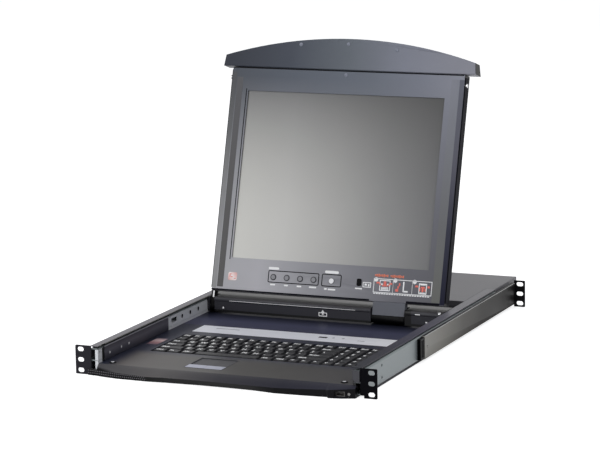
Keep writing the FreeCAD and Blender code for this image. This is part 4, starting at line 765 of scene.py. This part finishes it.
pad_black = finish("pad_black", (60, 60, 64), scale=2200, bump=0.3, specular=0.25)
bar_silver = finish("bar_silver", (172, 174, 190), roughness=0.4, tone=0.1, metal=0.1)
dress(pad_black, "touch_pad", bevel=0.25 * MM)
dress(bar_silver, "touch_button_left", "touch_button_right", bevel=0.6 * MM)


# ---- Hinge base ----
# The beam that carries the screen: a rolled grey top edge, painted darker as painted shade
# as it turns forward, over a set-back black front, with painted shade in black beside the wide
# leaf and along the foot, screws at both ends, a thin white line and a plain arrow and box.

RECESS_MIDDLE, RECESS_HALF, BEAM_END, FOOT_SHADOW_HEIGHT = 141 * MM, 6.5 * MM, 197.5 * MM, 1.5 * MM
BASE_STEP, INK, ROLL_LEVELS = 1.2 * MM, 0.08 * MM, (0.6, 0.85, 1.0)
BASE_LINES, LINE_THICK = [(-55.0, 17.0, 218.0, 0.7, 0.2), (158.5, 17.2, 8.5, 1.6, 0.5)], 0.12 * MM
BASE_HEAD, BASE_SCREWS = (1.8 * MM, 1.0 * MM, 0.7 * MM), [(-175.5, 4.6), (173, 4.6)]
END_HEAD, END_SCREW, SLOPE = (2.3 * MM, 1.4 * MM, 0.8 * MM), (194.6 * MM, 381.6 * MM, 20.6 * MM), 0.707
ICON_PLACE, ICON_BOX = (-2 * MM, 6.0 * MM), (14.5 * MM, 6.4 * MM, 0.6 * MM, 1.3 * MM)
ARROW_HEAD = [(-3.6, 2.6), (3.6, 2.6), (0.0, 7.4)]
ARROW_STEM = [(-1.3, -0.6), (1.3, -0.6), (1.3, 2.8), (-1.3, 2.8)]


def beam_grey_and_shade(tree):
    """Grey where the beam faces up, with painted shade darkening its roll as it turns forward, painted shade
    in black beside the wide leaf and along the foot, and black beyond the right end."""
    place = axes_of(tree)
    # Painted shade: the roll darkens as it turns forward.
    roll = ramped(tree, axes_of(tree, "Normal")["Z"], ROLL_LEVELS, ((46, 46, 52), (50, 48, 52), (62, 61, 62)))
    # Painted shade in black beside the wide leaf and along the foot; black beyond the right end.
    black = largest(tree, calculate(tree, "COMPARE", place["X"], RECESS_MIDDLE, RECESS_HALF),
                    calculate(tree, "GREATER_THAN", place["X"], BEAM_END),
                    calculate(tree, "LESS_THAN", place["Z"], FOOT_SHADOW_HEIGHT))
    return mixed(tree, black, roll, srgb(4, 4, 6))


beam_paint = finish("beam_paint", beam_grey_and_shade, roughness=0.4, scale=1300, bump=0.12)
dress(beam_paint, "hinge_base", bevel=0.2 * MM)
front_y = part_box("hinge_base")[0].y
face_y = front_y + BASE_STEP
icon_origin = (ICON_PLACE[0], face_y, ICON_PLACE[1])
shell("base_line", "display_carriage", white_print,
      plates(BASE_LINES, LINE_THICK, (0, front_y, 0), RIGHT, UP, FRONT))
shell("base_screws", "display_carriage", bright_steel,
      [set_on(screw_head(*BASE_HEAD), (x * MM, face_y, z * MM), RIGHT, UP, FRONT) for x, z in BASE_SCREWS])
shell("base_end_screw", "display_carriage", bright_steel,
      [set_on(screw_head(*END_HEAD), END_SCREW, RIGHT, (0, SLOPE, SLOPE), (0, -SLOPE, SLOPE))])
shell("base_icon_box", "display_carriage", white_print,
      [set_on(border(*ICON_BOX, INK), icon_origin, RIGHT, UP, FRONT)], looped=True)
shell("base_icon_arrow", "display_carriage", white_print,
      [set_on(slab(np.array(outline) * MM, 1.5 * INK), icon_origin, RIGHT, UP, FRONT)
       for outline in (ARROW_HEAD, ARROW_STEM)])


# ---- Hinges ----
# Two leaves turn on polished pins. The wide one is the panel's own slate plastic above
# the beam and black below it; the small one at the left is black, with a polished link over it.

HINGE_LEVEL, LINK_THICK = 11.4 * MM, 1.0 * MM
LINK = (-194, -6.4, 2.6, 11, 1.2)
PANEL_FRONT, PANEL_FOOT = 7.5 * MM, 25.2 * MM
joints = {joint["name"]: joint for joint in frame["joints"]}
into_panel = Vector(joints["power_button_press"]["axis"]).normalized()
up_panel = Vector(RIGHT).cross(into_panel)
panel_origin = Vector(joints["display_hinge"]["pos_m"]) - into_panel * PANEL_FRONT + up_panel * PANEL_FOOT


def panel_point(x, rise):
    """Point on the panel's face at a distance from its middle and above its foot."""
    return panel_origin + Vector((x, 0, 0)) + up_panel * rise


def panel_plates(*rows, start=0.0, lift=INK):
    """Rounded plates on the panel, in rows as for plates, from a start beside the middle of its foot."""
    return plates(rows, lift, panel_point(start, 0), RIGHT, up_panel, -into_panel)


def leaf_paint(tree):
    """Slate on the wide leaf above a level; black below that level and on the small left leaf."""
    place = axes_of(tree)
    above = calculate(tree, "GREATER_THAN", place["Z"], HINGE_LEVEL)
    wide = calculate(tree, "GREATER_THAN", place["X"], 0.0)
    return mixed(tree, calculate(tree, "MULTIPLY", above, wide), srgb(2, 2, 3), srgb(106, 108, 115))


moulded = dict(tone=0.1, scale=1200, bump=0.15)
slate_neck = finish("slate_neck", leaf_paint, roughness=0.48, specular=0.1, **moulded)
dress(slate_neck, "hinge_leaves", bevel=0.5 * MM)
dress(bright_steel, "hinge_pins", "latch_pins")
shell("hinge_link", "display_panel", bright_steel, panel_plates(LINK, lift=LINK_THICK))


# ---- Screen shell ----
# Two moulded halves: a slate front with black sides, shaded across and up the panel as
# painted light, which carries the buttons and plain printed marks in place of wording, and a black back.

PANEL_RISE, SHELL_BEND, SIDEWAYS = 350 * MM, 1.6, 0.6


def rising(foot, crown, low, high, bend):
    """Paint that passes from one paint to another up the panel, slowly at first for a bend above 1."""
    def paint(tree):
        share = share_between(tree, panel_point(0, low), panel_point(0, high))
        held = calculate(tree, "MINIMUM", calculate(tree, "MAXIMUM", share, 0.0), 1.0)
        return mixed(tree, calculate(tree, "POWER", held, bend), foot(tree), crown(tree))
    return paint


def black_sided(face, limit, black):
    """Paint that is black where the piece faces sideways by more than a limit."""
    def paint(tree):
        turned = calculate(tree, "ABSOLUTE", axes_of(tree, "Normal")["X"])
        return mixed(tree, calculate(tree, "GREATER_THAN", turned, limit), face(tree), black)
    return paint


# Painted light on the slate front: light at the lower left, dark at the lower right and upper left, lighter
# at the upper right.
slate_front_painted_light = rising(across(HALF_WIDTH, (176, 176, 180), (186, 185, 190), (158, 158, 163), (134, 134, 140),
                            (102, 102, 109), (84, 84, 90)),
                     across(HALF_WIDTH, (66, 71, 80), (76, 82, 93), (87, 93, 104), (97, 103, 114),
                            (114, 118, 130), (134, 136, 147)), 0, PANEL_RISE, SHELL_BEND)
slate_shell_painted_light = finish("slate_shell_painted_light", black_sided(slate_front_painted_light, SIDEWAYS, srgb(5, 5, 6)), roughness=0.46,
                     **moulded)
back_black = finish("back_black", (26, 26, 31), roughness=0.55, tone=0.15, scale=1000, bump=0.25,
                    specular=0.1)
dress(slate_shell_painted_light, "lcd_bezel", bevel=0.3 * MM)
dress(back_black, "lcd_back_cover", bevel=0.3 * MM)


# ---- Panel sides ----
# Black edge strips along both sides of the shell. On its front, bands beside the
# screen with a rim outside each, whose colours change up the panel as painted light, and
# two dark strips along the foot as painted shadow.

EDGE_STRIP, EDGE_THICK, FOOT_THICK = (10, 182.2, 16, 356, 0.4), 1.5 * MM, 0.1 * MM
FOOT_SHADOWS = [(-62.7, 1.5, 273.4, 2.6, 0.3), (163.8, 1.9, 55.6, 3.4, 0.3)]


def climbing(*stops):
    """Paint whose screen colour runs through stops up the panel."""
    return faded(panel_point(0, 0), panel_point(0, PANEL_RISE), *stops)


# Band and rim colours that change up the panel are painted light.
band_grey = finish("band_grey", climbing((86, 85, 85), (84, 83, 84), (84, 84, 88)), **moulded)
rim_grey = finish("rim_grey", climbing((150, 150, 151), (152, 152, 154), (134, 134, 136), (96, 97, 99),
                                       (72, 73, 77)), **moulded)
band_olive = finish("band_olive", climbing((100, 101, 97), (100, 101, 103), (114, 116, 122), (126, 128, 138)),
                    **moulded)
rim_navy = finish("rim_navy", climbing((34, 35, 50), (62, 63, 76), (98, 98, 108), (104, 106, 116)),
                  tone=0.15, scale=1200, bump=0.15, specular=0.05)
side_black = finish("side_black", (17, 17, 24), tone=0.15, scale=1200, bump=0.15, specular=0.03)
SIDE_TRIMS = [  # name, finish, slot, plate on the panel, thickness in millimetres
    ("left_band", band_grey, "slate_plastic", (-185, 177, 10.5, 342, 0.6), 0.15),
    ("left_rim", rim_grey, "slate_plastic", (-195.2, 180, 7.6, 352, 0.6), 0.12),
    ("right_band", band_olive, "slate_plastic", (184.8, 180, 13.6, 352, 0.6), 0.05),
    ("right_rim", rim_navy, "black_plastic", (195.7, 178.6, 7.8, 355, 0.6), 0.12),
]
for name, material, slot, trim, thick in SIDE_TRIMS:
    shell(name, "display_panel", material, panel_plates(trim, lift=thick * MM))
# Painted shadow: dark strips along the panel's foot, over the gap to the beam.
shell("panel_foot_lines", "display_panel", side_black,
      panel_plates(*FOOT_SHADOWS, lift=FOOT_THICK))
low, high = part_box("lcd_bezel")
shell("side_strips", "display_panel", side_black,
      [form for x, out in ((low.x, LEFT), (high.x, RIGHT))
       for form in plates([EDGE_STRIP], EDGE_THICK, panel_point(x, 0), into_panel, up_panel, out)])


# ---- Menu buttons ----
# Four black push buttons inside a thin outline, and the silver power button in its
# own, each with a plain white mark above and below. The caps are lightened in part by a
# painted highlight, and each is ringed by painted shade.

BUTTON_RISE, MENU_REACH, POWER_REACH, REACH_BLUR = 27 * MM, 3.6 * MM, 4.1 * MM, 0.4 * MM
MENU_OUTLINE, POWER_OUTLINE = (0, 27.9, 88.3, 19.8, 2.4, 1.5), (0, 27.9, 34, 20.2, 2.8, 1.5)
MENU_MARKS = [(shift, 14.9, width, 2.6, 0.9)
              for shift, width in ((0, 8.6), (0, 7.0), (-0.6, 8.0), (-0.4, 12.6))]
MENU_TITLE = (-0.3, 41.0, 18, 4.2, 1.8)
POWER_MARKS = [(-0.5, 41.0, 23.5, 4.4, 1.9), (-9.0, 13.9, 5, 2.8, 1.2), (1.5, 13.6, 13, 2.6, 1.0)]
menu_nodes = ["menu_button_%d" % i for i in (1, 2, 3, 4)]
menu_centres = [sum(corner.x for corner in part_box(node)) / 2 for node in menu_nodes]
power_x = sum(corner.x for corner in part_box("power_button")) / 2
menu_pitch = menu_centres[1] - menu_centres[0]


def on_panel(form, x, rise):
    """Form laid on the panel's face at a distance from its middle and above its foot."""
    return set_on(form, panel_point(x, rise), RIGHT, up_panel, -into_panel)


def panel_outlines(*rows, start=0.0):
    """Rounded outlines on the panel: each is (across, rise, width, height, corner, line) in millimetres."""
    return [on_panel(border(w * MM, h * MM, c * MM, line * MM, INK), start + x * MM, v * MM)
            for x, v, w, h, c, line in rows]


def domed_with_painted_light(first, pitch, cap, ring, reach):
    """Paint of round buttons in a row: the cap colour, in part a painted highlight, within a reach of each
    axis, and a ring of painted shade outside.
    """
    def paint(tree):
        along = repeated(tree, calculate(tree, "SUBTRACT", axes_of(tree)["X"], first - pitch / 2), pitch)
        share = share_between(tree, panel_point(0, 0), panel_point(0, BUTTON_RISE))
        rise = calculate(tree, "MULTIPLY", calculate(tree, "SUBTRACT", share, 1.0), BUTTON_RISE)
        outside = smooth_step(tree, reach_of(tree, along, rise), reach - REACH_BLUR, reach + REACH_BLUR)
        return mixed(tree, outside, cap, ring)
    return paint


outline_black = finish("outline_black", (10, 10, 13), specular=0.05)
# Menu caps are slate lightened in part by a painted highlight; the power cap is silver painted near-white as
# a painted highlight; each has a ring of painted shade.
menu_slate = finish("menu_slate", domed_with_painted_light(menu_centres[0], menu_pitch, srgb(146, 146, 150), srgb(62, 62, 66),
                                        MENU_REACH), roughness=0.42, tone=0.1, specular=0.2)
power_silver = finish("power_silver", domed_with_painted_light(power_x, menu_pitch, srgb(250, 250, 252), srgb(96, 98, 104),
                                            POWER_REACH), roughness=0.3, tone=0.08, specular=0.4)
dress(menu_slate, *menu_nodes, bevel=0.3 * MM)
dress(power_silver, "power_button", bevel=0.3 * MM)
shell("button_outlines", "display_panel", outline_black,
      panel_outlines(MENU_OUTLINE, start=(menu_centres[0] + menu_centres[-1]) / 2)
      + panel_outlines(POWER_OUTLINE, start=power_x), looped=True)
shell("button_marks", "display_panel", white_print,
      [form for x, mark in zip(menu_centres, MENU_MARKS) for form in panel_plates(mark, start=x)]
      + panel_plates(MENU_TITLE, start=menu_centres[0]) + panel_plates(*POWER_MARKS, start=power_x))


# ---- Panel prints ----
# A plain patch at the left, a service slot filled with a black plate as painted shade, with its
# mark, and at the right three outlined boxes with simple lock, lift and slide pictures, in place of any
# wording.

BOX_LEFT, BOX_WIDTH, BOX_RISE, BOX_HEIGHT, BOX_LINE = 79.6, 32.3, 25.2, 22.6, 1.1  # in millimetres
BOX_OUTLINE = (0, BOX_RISE, BOX_WIDTH + BOX_LINE, BOX_HEIGHT, 0.5, BOX_LINE)
BOX_DOT = (3.4 - BOX_WIDTH / 2, BOX_RISE + 9.4, 6.8, 6.8, 3.4)
LOCK_OUTLINES = [(2.5, 25.7, 18, 17, 0.5, 1.3), (2.5, 20.7, 12, 5, 0.5, 1.1)]
SLIDE_OUTLINE, SERVICE_OUTLINE = (1.5, 24.4, 13.5, 17, 0.5, 1.4), (68.0, 25.0, 14, 8.4, 0.6, 1.2)
SERVICE_MARKS = [(54.4, 18.2, 12, 2.2, 0.6), (66.0, 25.2, 4, 3, 0.4), (71.2, 24.6, 2.4, 4, 0.4)]
SERVICE_SLOT = (54.2, 28.0, 7.8, 12, 2.6)
BARS, BAR_PITCH, HEADING_STROKES, HEADING_SPACE, STROKE_PITCH = 22, 4.3, 17, 8, 2.9
HEADING_LINES = [(92, 40.6, 21, 1.3, 0.4), (118, 40.6, 21, 1.3, 0.4)]
ROSE_PATCH = (-164.5, 24, 15.5, 13, 2.4)
ROSE_MARKS = [(-168.9, 25.5, 1.2, 6, 0.3), (-165.7, 23.0, 3.6, 1.1, 0.3), (-166.5, 27.4, 2.4, 1.0, 0.3),
              (-160.3, 20.4, 3.4, 1.0, 0.3)]
box_centres = [(BOX_LEFT + (i + 0.5) * BOX_WIDTH) * MM for i in range(3)]


def blocks(box, *rows, lift=INK):
    """Solid marks in one box: each is (across, rise, width, height) in millimetres from the box's centre."""
    return panel_plates(*((x, BOX_RISE + v, w, h, 0.3 * min(w, h)) for x, v, w, h in rows),
                        start=box_centres[box], lift=lift)


print_orange = finish("print_orange", (236, 132, 104), tone=0.1)
print_red = finish("print_red", (236, 118, 104), tone=0.1)
patch_rose = finish("patch_rose", faded(panel_point(-172 * MM, 18 * MM), panel_point(-157 * MM, 30 * MM),
                                        (226, 170, 166), (248, 218, 214), (255, 242, 240), (246, 208, 204),
                                        (230, 174, 170)), roughness=0.6, tone=0.1)
shell("print_boxes", "display_panel", white_print,
      [form for x in box_centres for form in panel_outlines(BOX_OUTLINE, start=x)]
      + panel_outlines(SERVICE_OUTLINE) + panel_outlines(*LOCK_OUTLINES, start=box_centres[0])
      + panel_outlines(SLIDE_OUTLINE, start=box_centres[2]), looped=True)
shell("print_bars", "display_panel", white_print,
      panel_plates(*((BAR_PITCH * i - 14, 12.6, 3.4, 1.6, 0.4) for i in range(BARS)), start=box_centres[0])
      + panel_plates(*SERVICE_MARKS)
      + blocks(0, (2.5, -4.5, 9, 1.6), (-2.5, 2.4, 3, 2.6), (7.4, 2.4, 3, 2.6))
      + blocks(1, (1.6, 0.4, 2.2, 16.5), (5.4, -6.8, 8.0, 2.4))
      + blocks(2, (1.5, -7.4, 9, 2.0), (1.5, 5.6, 9, 1.6))
      + [form for x in box_centres for form in panel_plates(BOX_DOT, start=x)])
shell("print_arrows", "display_panel", print_red,
      blocks(0, (-8.8, 4.4, 6, 2.8), (2.4, 4.2, 4.4, 6.5), (12.4, 3.8, 5, 2.8), (2.4, 0.2, 9, 2.0),
             (-5.6, 1.6, 2.4, 2.4), (9.2, 1.0, 2.4, 2.4), lift=2 * INK)
      + blocks(1, (-5.2, 3.4, 2.2, 5.0), (-7.4, -1.0, 2.2, 4.4), (-9.2, -5.6, 5.0, 4.2), lift=2 * INK)
      + blocks(2, (-8.8, 2.6, 5, 3.2), (1.5, 1.4, 7, 2.4), (1.5, -2.6, 3.2, 6.4), (11.2, 2.4, 4, 3.2),
               (-3.0, -2.2, 1.8, 5.0), (5.8, -2.2, 1.8, 5.0), lift=2 * INK))
shell("print_heading", "display_panel", print_orange,
      panel_plates(*((81.5 + STROKE_PITCH * i, 41.2, 2.2, 3.0 + 0.9 * (i % 3), 0.5)
                     for i in range(HEADING_STROKES) if i != HEADING_SPACE), *HEADING_LINES))
shell("rose_patch", "display_panel", patch_rose, panel_plates(ROSE_PATCH))
shell("patch_marks", "display_panel", print_red, panel_plates(*ROSE_MARKS, lift=2 * INK))
# Painted shade: a black plate stands for the shaded inside of the service slot.
shell("service_slot_shade", "display_panel", outline_black, panel_plates(SERVICE_SLOT))


# ---- Screen ----
# The flat screen is a grey field behind a matt face, painted light at its lower left
# and darker at its upper right as a painted reflection. A thin black line closes its left edge.

SCREEN_HALF, SCREEN_FOOT, SCREEN_CROWN, SCREEN_BEND = 165 * MM, 54 * MM, 326 * MM, 1.8
GASKET_WIDTH, GASKET_OUTSIDE, GASKET_CORNER = 1.5 * MM, 0.3 * MM, 0.5 * MM
# Painted reflection: light at the lower left, darker towards the upper right.
screen_painted_reflection = rising(across(SCREEN_HALF, (220, 219, 213), (210, 209, 205), (186, 185, 182), (152, 152, 151),
                             (118, 118, 119)),
                      across(SCREEN_HALF, (122, 122, 122), (120, 120, 120), (107, 107, 107), (91, 91, 91),
                             (73, 73, 73)), SCREEN_FOOT, SCREEN_CROWN, SCREEN_BEND)
screen_grey = finish("screen_grey", screen_painted_reflection, roughness=0.35, tone=0.03, scale=2500, bump=0.03,
                     specular=0.25)
cell_silver = finish("cell_silver", (150, 150, 150), roughness=0.4, metal=0.4)
dress(screen_grey, "lcd_glass")
dress(cell_silver, "lcd_cell")
low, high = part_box("lcd_glass")
glass_rise, glass_height = ((low + high) / 2 - panel_origin).dot(up_panel), (high.z - low.z) / up_panel.z
shell("screen_gasket", "display_panel", outline_black,
      [on_panel(plate(GASKET_WIDTH, glass_height, GASKET_CORNER, INK), low.x - GASKET_OUTSIDE, glass_rise)])


# ---- Arched cap ----
# The handle cap over the top of the panel, bowed along its upper edge, in the same
# slate plastic with black ends, painted dark at the left and light at the right as a painted
# reflection, over a black strip of painted shade in the seam, and held by small sunk screws.

CAP_SIDEWAYS, CAP_SEAM_SHADE, CAP_HEAD = 0.5, (0, 363.4, 396, 1.9, 0.2), (3.0 * MM, 0.8 * MM, 0.9 * MM)
CAP_SCREWS = [(-84, 404), (-2, 407), (81.5, 400), (-1.4, 357)]
# Painted reflection: the cap is darker at the left and lighter at the right.
cap_painted_reflection = across(HALF_WIDTH, (46, 50, 60), (66, 71, 82), (98, 104, 112), (128, 131, 143), (140, 141, 151))
cap_slate = finish("cap_slate", black_sided(cap_painted_reflection, CAP_SIDEWAYS, srgb(8, 8, 10)), roughness=0.46,
                   specular=0.2, **moulded)
screw_slate = finish("screw_slate", (112, 116, 128), roughness=0.35, tone=0.1, metal=0.3)
dress(cap_slate, "arched_cap", bevel=0.2 * MM)
# Painted shade: a black strip in the seam between cap and bezel.
shell("cap_seam_shade", "display_panel", outline_black, panel_plates(CAP_SEAM_SHADE))
shell("cap_screws", "display_panel", screw_slate,
      [on_panel(screw_head(*CAP_HEAD), x * MM, rise * MM) for x, rise in CAP_SCREWS])
